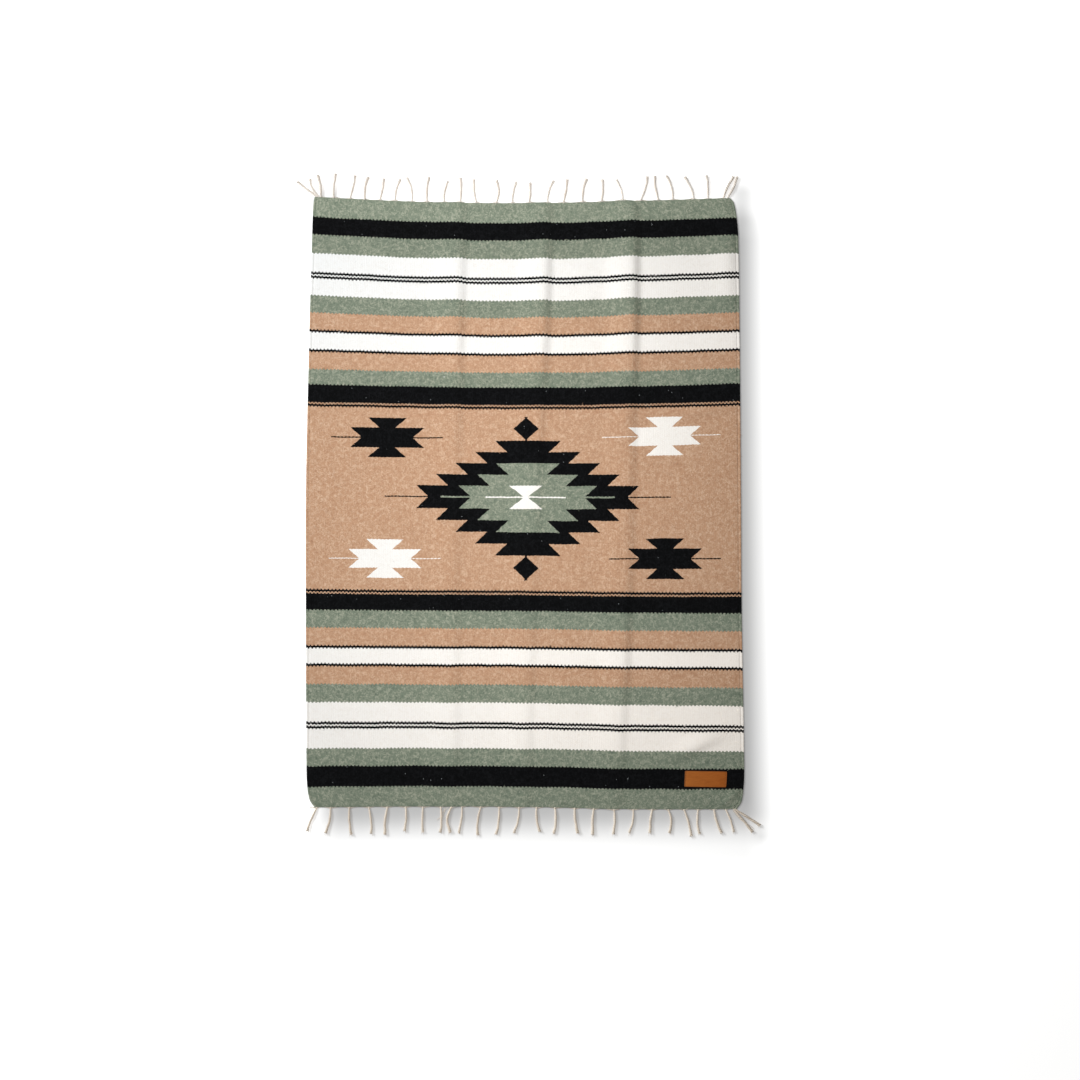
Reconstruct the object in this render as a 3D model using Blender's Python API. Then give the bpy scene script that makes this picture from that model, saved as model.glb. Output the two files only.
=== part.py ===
"""Mexican serape laid flat on the ground.

One flat-woven cloth with three soft creases along it, a fringe of twisted warp ends at each end, and
a small leather patch sewn on near one corner.

Metres, +Z up. +X is the cloth's width and +Y its length. The origin is on the ground, under the
middle of the whole serape with its fringes. Sizes in the tables are millimetres. A place on the cloth
is given as across and along: how far it is from the cloth's middle, measured on the woven cloth.
"""
import math
from collections import namedtuple

import bmesh
import bpy
from mathutils import Vector

MM = 0.001

# Cloth
CLOTH_WIDTH = 1000.0
CLOTH_LENGTH = 1400.0
CLOTH_THICKNESS = 2.5
HALF_WIDTH = CLOTH_WIDTH / 2
HALF_LENGTH = CLOTH_LENGTH / 2
# How much of its woven length the cloth takes up on the ground, and how far a crest draws the weft on
LENGTH_LAID = 0.993
CREST_PULL = 0.25

# Where the two selvages lie, from the middle line, at some places along the cloth
EdgeRow = namedtuple("EdgeRow", "along left right")
EDGES = (
    EdgeRow(700, -490, 478),
    EdgeRow(690, -492, 487),
    EdgeRow(660, -494, 493),
    EdgeRow(610, -495, 497),
    EdgeRow(350, -499, 498),
    EdgeRow(0, -502, 497),
    EdgeRow(-250, -499, 496),
    EdgeRow(-610, -493, 498),
    EdgeRow(-660, -490, 495),
    EdgeRow(-685, -484, 490),
    EdgeRow(-700, -473, 479),
)

# How far the weft lies above a straight line across, at the selvages, halfway in, and in the middle
WeftRow = namedtuple("WeftRow", "along left left_half middle right_half right")
WEFT = (
    WeftRow(700, 15, 3.5, 0, 5, 12),
    WeftRow(460, 13.5, 3, -0.5, 5, 13.5),
    WeftRow(210, 9, 4, 1, 3.5, 10),
    WeftRow(-210, 5.5, 3, 1.5, -1.5, -2.5),
    WeftRow(-460, 0, -0.5, -2, -7, -9),
    WeftRow(-700, -3, -1, -2, -7, -7),
)

# The three creases: where each crest runs across the cloth, and how high it stands
CreaseRow = namedtuple("CreaseRow", "along first second third first_high second_high third_high")
CREASES = (
    CreaseRow(700, -154, 50, 254, 2.5, 3, 3.5),
    CreaseRow(560, -156, 45, 250, 5, 6, 7.5),
    CreaseRow(400, -158, 41, 249, 5.5, 6, 7),
    CreaseRow(200, -160, 33, 243, 3.5, 4, 4.5),
    CreaseRow(0, -162, 25, 239, 2.5, 2.5, 3.5),
    CreaseRow(-300, -165, 11, 229, 2.5, 2.5, 4.5),
    CreaseRow(-520, -167, 1, 215, 2.5, 2.5, 3),
    CreaseRow(-700, -168, -6, 207, 1.5, 1.5, 1.5),
)
CREASE_NAMES = ("first", "second", "third")
# A crease climbs slowly from the left and falls off quickly to the right
CLIMB_WIDTH = 72.0
FALL_WIDTH = 24.0

# The cloth's grid: steps over one crease as shares of its climb and fall, plain columns between, rows
CLIMB_STEPS = (1.0, 0.66, 0.40, 0.18)
FALL_STEPS = (0.0, 0.28, 0.60, 1.0)
PLAIN_COLUMNS = (3, 1, 1, 3)
ROW_COUNT = 38
# The corners turn over this length, in rows that close up towards the end
CORNER_LENGTH = 42.0
CORNER_STEPS = (0.0, 0.2, 0.38, 0.56, 0.78)

# Fringe: a thin strip of warp ends along the cloth's end, with the twisted strands growing out of it
SEAM_GAP = 0.3
STRIP_WIDTH = 3.0
STRIP_THICKNESS = 2.2
FLOOR_GAP = 0.5
STRAND_RADIUS = 2.3
STRAND_LOW = 0.35
ROOT_DEPTH = 1.6
# How thick a strand is along its length, as shares of its radius
STRAND_SHAPE = (0.78, 0.95, 1.0, 0.95, 1.02, 1.16)

# A strand: where its root is across the ground, how far its tip leans over, how far it reaches, its bow
Strand = namedtuple("Strand", "root lean reach bow")
TOP_STRANDS = (
    Strand(-485, -46, 35, -3),
    Strand(-481, -20, 42, -7),
    Strand(-476, -7, 51, 2),
    Strand(-446, 5, 56, -2),
    Strand(-408, 12, 54, 2),
    Strand(-373, 7, 52, -3),
    Strand(-338, 9, 50, 2),
    Strand(-303, 12, 51, -2),
    Strand(-263, -12, 56, 4),
    Strand(-228, 4, 58, -2),
    Strand(-188, 9, 49, -3),
    Strand(-151, 1, 57, 2),
    Strand(-113, -5, 55, -3),
    Strand(-67, 1, 53, 6),
    Strand(-29, 9, 49, -2),
    Strand(10, 2, 47, 2),
    Strand(53, 14, 51, -3),
    Strand(90, 9, 54, 2),
    Strand(135, 9, 54, -3),
    Strand(179, 2, 51, 2),
    Strand(228, -14, 49, 3),
    Strand(270, 16, 56, 4),
    Strand(312, -9, 56, -3),
    Strand(345, -14, 56, 4),
    Strand(394, -21, 51, 3),
    Strand(427, -2, 54, 1),
    Strand(464, 24, 51, -2),
    Strand(473, 23, 50, 4),
)
BOTTOM_STRANDS = (
    Strand(-468, -22, 52, -3),
    Strand(-438, -10, 57, 3),
    Strand(-395, 5, 61, -2),
    Strand(-352, 7, 59, 3),
    Strand(-309, -5, 61, -3),
    Strand(-268, -2, 54, 2),
    Strand(-229, 0, 57, -1),
    Strand(-189, 0, 57, 2),
    Strand(-164, -2, 57, -9),
    Strand(-141, -7, 59, 2),
    Strand(-98, -7, 63, -4),
    Strand(-57, -6, 61, 2),
    Strand(-12, -11, 57, 3),
    Strand(28, 7, 54, -3),
    Strand(69, -2, 57, 3),
    Strand(114, 7, 55, -2),
    Strand(157, -2, 57, -2),
    Strand(203, -2, 55, 2),
    Strand(246, -9, 52, 3),
    Strand(289, -5, 52, -2),
    Strand(325, 2, 52, 6),
    Strand(361, 16, 59, 3),
    Strand(393, 2, 54, -3),
    Strand(429, 16, 52, -2),
    Strand(455, 18, 50, 3),
    Strand(473, 42, 50, 3),
    Strand(476, 56, 36, 4),
)

# Leather patch: where its middle is on the cloth, its size, and how far it is turned
PATCH_ACROSS = 412.0
PATCH_ALONG = -631.0
PATCH_WIDTH = 97.0
PATCH_HEIGHT = 37.0
PATCH_THICKNESS = 1.6
PATCH_TURN = math.radians(-0.9)
PATCH_STEPS = 8

COLOURS = {
    "cloth": ((0.29, 0.34, 0.26, 1), 0.95),
    "fringe": ((0.66, 0.55, 0.42, 1), 0.9),
    "leather": ((0.27, 0.085, 0.025, 1), 0.6),
}


def read_smooth(table, column, along):
    """Read a column between the table's rows, on a smooth curve through them."""
    rows = sorted(table, key=lambda row: row.along)
    places = [row.along for row in rows]
    values = [getattr(row, column) for row in rows]
    along = min(max(along, places[0]), places[-1])
    last = len(rows) - 1
    low = min(sum(place <= along for place in places) - 1, last - 1)

    def slope(index):
        before = max(index - 1, 0)
        after = min(index + 1, last)
        return (values[after] - values[before]) / (places[after] - places[before])

    span = places[low + 1] - places[low]
    t = (along - places[low]) / span
    ease = t * t * (3 - 2 * t)
    leave = t * (1 - t) ** 2 * span * slope(low)
    arrive = t * t * (t - 1) * span * slope(low + 1)
    return values[low] * (1 - ease) + values[low + 1] * ease + leave + arrive


def crease_height(across, along):
    """How far the cloth stands off the ground."""
    height = 0.0
    for name in CREASE_NAMES:
        offset = across - read_smooth(CREASES, name, along)
        share = offset / (CLIMB_WIDTH if offset < 0 else FALL_WIDTH)
        if abs(share) < 1:
            height += read_smooth(CREASES, name + "_high", along) * (1 - share * share) ** 2
    return height


def weft_rise(across, along):
    """How far the weft lies above a straight line, on a smooth curve through the row's five places."""
    columns = ("left", "left_half", "middle", "right_half", "right")
    Place = namedtuple("Place", "along value")
    row = [
        Place(-HALF_WIDTH + index * CLOTH_WIDTH / 4, read_smooth(WEFT, column, along))
        for index, column in enumerate(columns)
    ]
    return read_smooth(row, "value", across)


def laid_point(across, along):
    """The underside of the cloth on the ground, in metres from the cloth's own middle."""
    left = read_smooth(EDGES, "left", along)
    right = read_smooth(EDGES, "right", along)
    share = (across + HALF_WIDTH) / CLOTH_WIDTH
    height = crease_height(across, along)
    pull = CREST_PULL * height * along / HALF_LENGTH
    y = along * LENGTH_LAID + weft_rise(across, along) + pull
    return Vector((left + share * (right - left), y, height)) * MM


def across_at(x, along):
    """Which place across the cloth lies at x millimetres on the ground."""
    left = read_smooth(EDGES, "left", along)
    right = read_smooth(EDGES, "right", along)
    return (x - left) / (right - left) * CLOTH_WIDTH - HALF_WIDTH


def grid_columns(along):
    """Places across the cloth for one row of its grid: close over the creases, wide between them."""
    columns = [-HALF_WIDTH]
    crests = [read_smooth(CREASES, name, along) for name in CREASE_NAMES]
    for crest, plain in zip(crests + [None], PLAIN_COLUMNS):
        start = columns[-1]
        stop = HALF_WIDTH if crest is None else crest - CLIMB_WIDTH
        columns += [start + (stop - start) * step / (plain + 1) for step in range(1, plain + 1)]
        if crest is not None:
            columns += [crest - CLIMB_WIDTH * share for share in CLIMB_STEPS]
            columns += [crest + FALL_WIDTH * share for share in FALL_STEPS]
    return columns + [HALF_WIDTH]


def grid_rows():
    """Places along the cloth, with close rows at both ends where the corners turn."""
    inner = HALF_LENGTH - CORNER_LENGTH
    ends = [HALF_LENGTH - CORNER_LENGTH * share * share for share in CORNER_STEPS]
    middle = [-inner + 2 * inner * step / (ROW_COUNT - 1) for step in range(ROW_COUNT)]
    return [-place for place in ends] + middle + ends[::-1]


def make_material(name):
    colour, roughness = COLOURS[name]
    material = bpy.data.materials.new(name)
    material.use_nodes = True
    shader = material.node_tree.nodes["Principled BSDF"]
    shader.inputs["Base Color"].default_value = colour
    shader.inputs["Roughness"].default_value = roughness
    shader.inputs["Metallic"].default_value = 0.0
    return material


def add_object(name, mesh, collection, material):
    thing = bpy.data.objects.new(name, mesh)
    thing.data.materials.append(material)
    collection.objects.link(thing)
    return thing


def sheet_mesh(name, grid, thickness):
    """A closed wall over rows of points, thickened straight up, so that its ends keep their gaps."""
    column_count = len(grid[0])
    form = bmesh.new()
    bmesh.ops.create_grid(form, x_segments=column_count - 1, y_segments=len(grid) - 1, size=1)
    points = [point for row in grid for point in row]
    for vertex, point in zip(form.verts, points):
        vertex.co = point
    raised = bmesh.ops.extrude_face_region(form, geom=form.faces[:], use_keep_orig=True)
    top = [item for item in raised["geom"] if isinstance(item, bmesh.types.BMVert)]
    bmesh.ops.translate(form, verts=top, vec=(0, 0, thickness * MM))
    bmesh.ops.recalc_face_normals(form, faces=form.faces)
    mesh = bpy.data.meshes.new(name)
    form.to_mesh(mesh)
    form.free()
    return mesh


def make_cloth(collection):
    grid = [[laid_point(across, along) for across in grid_columns(along)] for along in grid_rows()]
    mesh = sheet_mesh("cloth", grid, CLOTH_THICKNESS)
    return add_object("cloth", mesh, collection, make_material("cloth"))


def make_patch(collection):
    """The leather patch, from the cloth's own points moved up through its thickness and the gap."""
    lift = Vector((0, 0, (CLOTH_THICKNESS + SEAM_GAP) * MM))
    grid = []
    for row in range(3):
        rise = PATCH_HEIGHT * (row / 2 - 0.5)
        points = []
        for step in range(PATCH_STEPS + 1):
            run = PATCH_WIDTH * (step / PATCH_STEPS - 0.5)
            across = PATCH_ACROSS + run * math.cos(PATCH_TURN) - rise * math.sin(PATCH_TURN)
            along = PATCH_ALONG + run * math.sin(PATCH_TURN) + rise * math.cos(PATCH_TURN)
            points.append(laid_point(across, along) + lift)
        grid.append(points)
    mesh = sheet_mesh("leather_patch", grid, PATCH_THICKNESS)
    return add_object("leather_patch", mesh, collection, make_material("leather"))


def strip_mesh(name, end):
    """The strip along one end of the cloth: end is 1 at the top and -1 at the bottom."""
    rows = []
    for out in (SEAM_GAP, SEAM_GAP + STRIP_WIDTH):
        row = []
        for across in grid_columns(end * HALF_LENGTH):
            edge = laid_point(across, end * HALF_LENGTH)
            row.append(edge + Vector((0, end * out * MM, FLOOR_GAP * MM)))
        rows.append(row)
    return sheet_mesh(name, rows[::end], STRIP_THICKNESS)


def strand_points(strand, end):
    """A strand's middle line and radii: out of the strip, then down to lie just above the ground."""
    across = across_at(strand.root, end * HALF_LENGTH)
    edge = laid_point(across, end * HALF_LENGTH) / MM
    points = []
    last = len(STRAND_SHAPE) - 1
    start = SEAM_GAP + STRIP_WIDTH - ROOT_DEPTH
    for index, shape in enumerate(STRAND_SHAPE):
        share = index / last
        radius = STRAND_RADIUS * shape
        side = strand.lean * share ** 1.2 + strand.bow * math.sin(math.pi * share)
        out = start + (strand.reach - start) * share
        height = edge.z * (1 - share) ** 2 + STRAND_LOW + radius
        points.append((Vector((edge.x + side, edge.y + end * out, height)) * MM, radius * MM))
    return points


def strands_mesh(name, strands, end):
    """All strands of one end as closed tubes of four sides."""
    curve = bpy.data.curves.new(name, "CURVE")
    curve.dimensions = "3D"
    curve.bevel_depth = 1.0
    curve.bevel_resolution = 0
    curve.use_fill_caps = True
    for strand in strands:
        points = strand_points(strand, end)
        spline = curve.splines.new("POLY")
        spline.points.add(len(points) - 1)
        for point, (place, radius) in zip(spline.points, points):
            point.co = (*place, 1)
            point.radius = radius
    path = bpy.data.objects.new(name, curve)
    bpy.context.scene.collection.objects.link(path)
    evaluated = path.evaluated_get(bpy.context.evaluated_depsgraph_get())
    mesh = bpy.data.meshes.new_from_object(evaluated)
    bpy.data.objects.remove(path)
    form = bmesh.new()
    form.from_mesh(mesh)
    bmesh.ops.remove_doubles(form, verts=form.verts, dist=0.000001)
    bmesh.ops.recalc_face_normals(form, faces=form.faces)
    form.to_mesh(mesh)
    form.free()
    return mesh


def make_fringe(name, strands, end, collection, joined):
    """One fringe: the strip, joined with its strands."""
    material = make_material("fringe")
    fringe = add_object(name, strip_mesh(name, end), collection, material)
    tufts = add_object(name + "_strands", strands_mesh(name + "_strands", strands, end), joined, material)
    tufts.hide_render = True
    tufts.display_type = "WIRE"
    union = fringe.modifiers.new("strands", "BOOLEAN")
    union.operation = "UNION"
    union.solver = "EXACT"
    union.use_self = True
    union.object = tufts
    return fringe


def stand_on_origin(things):
    """Move everything so that the origin is on the ground under the middle of the whole serape."""
    bpy.context.view_layer.update()
    depsgraph = bpy.context.evaluated_depsgraph_get()
    corners = []
    for thing in things:
        mesh = thing.evaluated_get(depsgraph).data
        corners += [thing.matrix_world @ vertex.co for vertex in mesh.vertices]
    middle_x = (min(point.x for point in corners) + max(point.x for point in corners)) / 2
    middle_y = (min(point.y for point in corners) + max(point.y for point in corners)) / 2
    for thing in bpy.data.objects:
        thing.location = (-middle_x, -middle_y, 0)


def main():
    for thing in list(bpy.data.objects):
        bpy.data.objects.remove(thing)
    serape = bpy.data.collections.new("serape")
    joined = bpy.data.collections.new("joined strands")
    bpy.context.scene.collection.children.link(serape)
    bpy.context.scene.collection.children.link(joined)
    things = [
        make_cloth(serape),
        make_patch(serape),
        make_fringe("fringe_top", TOP_STRANDS, 1, serape, joined),
        make_fringe("fringe_bottom", BOTTOM_STRANDS, -1, serape, joined),
    ]
    stand_on_origin(things)


main()
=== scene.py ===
"""The looks of a Mexican serape laid flat on the ground.

The cloth, its selvages, its twisted fringes, its nap and the leather patch are each built here around
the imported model. Sizes are millimetres unless a name or a comment says otherwise, and a place on the
cloth is given as across and along: how far it is from the cloth's middle, measured on the woven cloth.
"""
import logging
import math
from collections.abc import Callable
from dataclasses import dataclass, field
from enum import Enum
from functools import reduce

import bpy
import numpy as np
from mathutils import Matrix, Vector


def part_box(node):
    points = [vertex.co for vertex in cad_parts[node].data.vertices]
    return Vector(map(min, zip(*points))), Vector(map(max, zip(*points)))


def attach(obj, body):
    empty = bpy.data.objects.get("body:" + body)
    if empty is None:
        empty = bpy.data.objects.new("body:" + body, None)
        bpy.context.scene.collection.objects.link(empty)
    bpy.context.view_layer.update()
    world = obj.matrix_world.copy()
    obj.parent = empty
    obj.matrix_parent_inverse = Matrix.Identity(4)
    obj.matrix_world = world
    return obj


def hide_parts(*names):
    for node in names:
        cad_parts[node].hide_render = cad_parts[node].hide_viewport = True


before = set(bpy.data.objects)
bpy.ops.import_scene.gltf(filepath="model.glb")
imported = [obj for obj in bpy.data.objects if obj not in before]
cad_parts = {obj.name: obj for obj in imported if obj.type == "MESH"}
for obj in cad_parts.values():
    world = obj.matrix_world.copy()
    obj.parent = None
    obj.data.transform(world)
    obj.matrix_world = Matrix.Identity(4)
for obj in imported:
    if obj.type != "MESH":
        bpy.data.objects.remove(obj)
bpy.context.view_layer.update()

LOG = logging.getLogger("serape")
MM = 0.001
TURN = 2 * math.pi

Array = np.ndarray
Colour = tuple[float, float, float]


def smooth_slopes(places: Array, values: Array) -> Array:
    """The slope of a smooth curve at each of its places.

    Args:
        places: The places, in rising order.
        values: One row of values for each place.

    Returns:
        One row of slopes for each place, one-sided at both ends.
    """
    rows = np.arange(len(places))
    before = np.maximum(rows - 1, 0)
    after = np.minimum(rows + 1, len(places) - 1)
    return (values[after] - values[before]) / (places[after] - places[before])[:, None]


def read_smooth(places: Array, values: Array, wanted: Array) -> Array:
    """Read values at the wanted places, on a smooth curve through all of them.

    Args:
        places: The places where values are known, in rising order.
        values: One row for each place, with one number, or with one for each wanted place.
        wanted: The places to read.

    Returns:
        One number for each wanted place.
    """
    values = values.reshape(len(places), -1)
    slopes = smooth_slopes(places, values)
    wanted = np.clip(wanted, places[0], places[-1])
    low = np.clip(np.searchsorted(places, wanted, "right") - 1, 0, len(places) - 2)
    column = np.zeros(len(wanted), int) if values.shape[1] == 1 else np.arange(len(wanted))
    span = places[low + 1] - places[low]
    t = (wanted - places[low]) / span
    ease = t * t * (3 - 2 * t)
    leave = t * (1 - t) ** 2 * span * slopes[low, column]
    arrive = t * t * (t - 1) * span * slopes[low + 1, column]
    return values[low, column] * (1 - ease) + values[low + 1, column] * ease + leave + arrive


@dataclass(frozen=True)
class Table:
    """Named columns of numbers at places along the cloth."""

    names: tuple[str, ...]
    rows: tuple[tuple[float, ...], ...]

    def read(self, name: str, along: Array) -> Array:
        """Read a column at places between the rows."""
        rows = np.array(sorted(self.rows))
        return read_smooth(rows[:, 0], rows[:, 1 + self.names.index(name)], along)


@dataclass(frozen=True)
class Pucker:
    """A small soft rise in the cloth, long in one direction.

    It climbs over its width on one side and falls off over half of that on the other.
    """

    across: float
    along: float
    length: float
    width: float
    turn: float
    height: float

    def rise(self, across: Array, along: Array) -> Array:
        """How far the pucker lifts the cloth.

        Args:
            across: The places across the cloth.
            along: The places along the cloth.

        Returns:
            The lift at each place.
        """
        turn = math.radians(self.turn)
        run = (across - self.across) * math.cos(turn) + (along - self.along) * math.sin(turn)
        side = (along - self.along) * math.cos(turn) - (across - self.across) * math.sin(turn)
        width = np.where(side > 0, self.width, self.width * 0.5)
        return self.height * np.exp(-((run / self.length) ** 2) - (side / width) ** 2)


@dataclass(frozen=True)
class LaidCloth:
    """How the cloth lies on the ground: its outline, its weft lines, its creases and its puckers."""

    width: float = 1000.0
    length: float = 1400.0
    thickness: float = 2.5
    length_laid: float = 0.993
    crest_pull: float = 0.25
    climb_width: float = 72.0
    fall_width: float = 24.0
    wave_height: float = 0.7
    selvages: Table = Table(
        ("left", "right"),
        (
            (700, -490, 478),
            (690, -492, 487),
            (660, -494, 493),
            (610, -495, 497),
            (350, -499, 498),
            (0, -502, 497),
            (-250, -499, 496),
            (-610, -493, 498),
            (-660, -490, 495),
            (-685, -484, 490),
            (-700, -473, 479),
        ),
    )
    weft: Table = Table(
        ("left", "left_half", "middle", "right_half", "right"),
        (
            (700, 15, 3.5, 0, 5, 12),
            (460, 13.5, 3, -0.5, 5, 13.5),
            (210, 9, 4, 1, 3.5, 10),
            (-210, 5.5, 3, 1.5, -1.5, -2.5),
            (-460, 0, -0.5, -2, -7, -9),
            (-700, -3, -1, -2, -7, -7),
        ),
    )
    creases: Table = Table(
        ("first", "second", "third", "first_high", "second_high", "third_high"),
        (
            (700, -154, 50, 254, 2.5, 3, 3.5),
            (560, -156, 45, 250, 5, 6, 7.5),
            (400, -158, 41, 249, 5.5, 6, 7),
            (200, -160, 33, 243, 3.5, 4, 4.5),
            (0, -162, 25, 239, 2.5, 2.5, 3.5),
            (-300, -165, 11, 229, 2.5, 2.5, 4.5),
            (-520, -167, 1, 215, 2.5, 2.5, 3),
            (-700, -168, -6, 207, 1.5, 1.5, 1.5),
        ),
    )
    puckers: tuple[Pucker, ...] = (
        Pucker(392, -556, 58, 26, 25, 4.2),
        Pucker(476, 560, 120, 32, 90, 3.4),
        Pucker(404, 196, 60, 18, 3, 2.5),
        Pucker(236, 184, 9, 12, 70, 2.3),
        Pucker(474, -674, 24, 11, 52, 2.4),
        Pucker(-300, 604, 60, 16, -8, 1.0),
        Pucker(150, 470, 14, 24, 84, 0.9),
        Pucker(-60, -392, 18, 26, 80, 0.8),
        Pucker(340, -330, 52, 14, -14, 0.9),
        Pucker(-402, -230, 44, 18, 16, 0.8),
    )

    def crease_height(self, across: Array, along: Array) -> Array:
        """How far the three lengthwise creases hold the cloth off the ground.

        Args:
            across: The places across the cloth.
            along: The places along the cloth.

        Returns:
            The height at each place.
        """
        height = np.zeros(len(across))
        for name in ("first", "second", "third"):
            offset = across - self.creases.read(name, along)
            share = offset / np.where(offset < 0, self.climb_width, self.fall_width)
            profile = (1 - np.minimum(share * share, 1)) ** 2
            height += self.creases.read(name + "_high", along) * profile
        return height

    def small_rise(self, across: Array, along: Array) -> Array:
        """How far low waves and puckers hold the cloth off the ground, as far as no crease does.

        Args:
            across: The places across the cloth.
            along: The places along the cloth.

        Returns:
            The height at each place.
        """
        wide = np.sin(across / 61 + 1.3 * np.sin(along / 143)) * np.sin(along / 118 + across / 390)
        short = np.sin(across / 27 - along / 95) * np.sin(along / 71 + 2.1)
        rise = self.wave_height * (0.5 + 0.32 * wide + 0.18 * short)
        for pucker in self.puckers:
            rise = rise + pucker.rise(across, along)
        return rise

    def underside(self, across: Array, along: Array) -> Array:
        """Where places on the underside of the cloth lie.

        Args:
            across: The places across the cloth.
            along: The places along the cloth.

        Returns:
            One point for each place, from the cloth's own middle.
        """
        left = self.selvages.read("left", along)
        right = self.selvages.read("right", along)
        share = across / self.width + 0.5
        columns = np.array([self.weft.read(name, along) for name in self.weft.names])
        places = self.width * (np.arange(len(columns)) / (len(columns) - 1) - 0.5)
        crease = self.crease_height(across, along)
        pull = self.crest_pull * crease * along * 2 / self.length
        y = along * self.length_laid + read_smooth(places, columns, across) + pull
        z = crease + self.small_rise(across, along)
        return np.stack((left + share * (right - left), y, z), axis=1)

    def across_at(self, x: float, along: float) -> float:
        """Which place across the cloth lies at x on the ground.

        Args:
            x: The distance from the middle line on the ground.
            along: The place along the cloth.

        Returns:
            The place across.
        """
        left = self.selvages.read("left", np.array([along]))[0]
        right = self.selvages.read("right", np.array([along]))[0]
        return (x - left) / (right - left) * self.width - self.width / 2


def operator(operation: str, reflected: bool = False) -> Callable[["Sock", "Number"], "Sock"]:
    """Make a socket's method for an operator, which adds a Math node.

    Args:
        operation: What the node works out.
        reflected: Whether the socket stands to the right of the operator.

    Returns:
        The method.
    """

    def apply(sock: "Sock", other: "Number") -> "Sock":
        """Work on the socket and another number."""
        first, second = (other, sock) if reflected else (sock, other)
        return sock.graph.math(operation, first, second)

    return apply


def function(operation: str) -> Callable[["Sock"], "Sock"]:
    """Make a socket's method that adds a Math node for the socket alone."""
    return lambda sock: sock.graph.math(operation, sock)


class Sock:
    """A number's socket that is written in sums as a number is. Of two masks, | gives the larger."""

    def __init__(self, graph: "Graph", socket: bpy.types.NodeSocket) -> None:
        """Wrap a socket of the graph."""
        self.graph = graph
        self.socket = socket

    __add__ = __radd__ = operator("ADD")
    __sub__ = operator("SUBTRACT")
    __rsub__ = operator("SUBTRACT", reflected=True)
    __mul__ = __rmul__ = operator("MULTIPLY")
    __truediv__ = operator("DIVIDE")
    __rtruediv__ = operator("DIVIDE", reflected=True)
    __lt__ = operator("LESS_THAN")
    __gt__ = operator("GREATER_THAN")
    __or__ = operator("MAXIMUM")
    __abs__ = function("ABSOLUTE")
    floor = function("FLOOR")
    cos = function("COSINE")
    sin = function("SINE")

    def clamp(self) -> "Sock":
        """Held between 0 and 1."""
        return self.graph.math("ADD", self, 0.0, clamp=True)


Number = Sock | float
Fill = Sock | bpy.types.NodeSocket | bpy.types.Material | float | str | tuple


def any_of(masks: list[Sock]) -> Sock:
    """Where at least one of some masks is, and how strongly."""
    return reduce(lambda first, second: first | second, masks)


class Graph:
    """A node tree, of a material or of geometry, while it is being wired."""

    def __init__(self, tree: bpy.types.NodeTree) -> None:
        """Wrap a node tree."""
        self.tree = tree

    def node(self, kind: str, settings: dict | None = None, values: dict | None = None) -> bpy.types.Node:
        """Add a node.

        Args:
            kind: The node's type.
            settings: Its own settings, which are set first.
            values: What goes into its sockets, by name or number: values or links.

        Returns:
            The node.
        """
        node = self.tree.nodes.new(kind)
        for name, setting in (settings or {}).items():
            setattr(node, name, setting)
        for name, value in (values or {}).items():
            self.fill(self.find(node.inputs, name), value)
        return node

    @staticmethod
    def find(sockets: bpy.types.bpy_prop_collection, name: str | int) -> bpy.types.NodeSocket:
        """Find a socket that is in use, by name or number.

        Args:
            sockets: The node's inputs or outputs.
            name: The socket's name or number.

        Returns:
            The socket.
        """
        if isinstance(name, int):
            return sockets[name]
        return next(socket for socket in sockets if socket.name == name and socket.enabled)

    def fill(self, socket: bpy.types.NodeSocket, value: Fill) -> None:
        """Link a socket or set its value.

        Args:
            socket: The socket to fill.
            value: A link, a number, a colour, a vector or a name.
        """
        if isinstance(value, Sock):
            value = value.socket
        if isinstance(value, bpy.types.NodeSocket):
            self.tree.links.new(value, socket)
        elif socket.type == "RGBA":
            socket.default_value = (*value, 1.0)
        else:
            socket.default_value = value

    def math(self, operation: str, *values: Number, clamp: bool = False) -> Sock:
        """Add a Math node, whose result may be held between 0 and 1."""
        settings = {"operation": operation, "use_clamp": clamp}
        return Sock(self, self.node("ShaderNodeMath", settings, dict(enumerate(values))).outputs[0])

    def out(self, node: bpy.types.Node, name: str | int = 0) -> Sock:
        """An output of a node, wrapped for sums."""
        return Sock(self, self.find(node.outputs, name))

    def mix(self, factor: Number, first: Fill, second: Fill, blend: str = "MIX") -> Sock:
        """Mix two colours.

        Args:
            factor: How much of the second colour is used.
            first: The colour at 0.
            second: The colour at 1.
            blend: How they are blended.

        Returns:
            The mixed colour.
        """
        settings = {"data_type": "RGBA", "blend_type": blend}
        node = self.node("ShaderNodeMix", settings, {"Factor": factor, "A": first, "B": second})
        return self.out(node, "Result")

    def vector(self, x: Number, y: Number, z: Number) -> Sock:
        """A vector from three numbers."""
        return self.out(self.node("ShaderNodeCombineXYZ", None, {"X": x, "Y": y, "Z": z}))

    def noise(self, place: Sock, scale: float, detail: float = 2.0, twist: float = 0.0) -> Sock:
        """Smooth noise between 0 and 1, by its waves in a metre, its finer layers and its swirl."""
        values = {"Vector": place, "Scale": scale, "Detail": detail, "Distortion": twist}
        return self.out(self.node("ShaderNodeTexNoise", {"noise_dimensions": "3D"}, values), 0)


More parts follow.
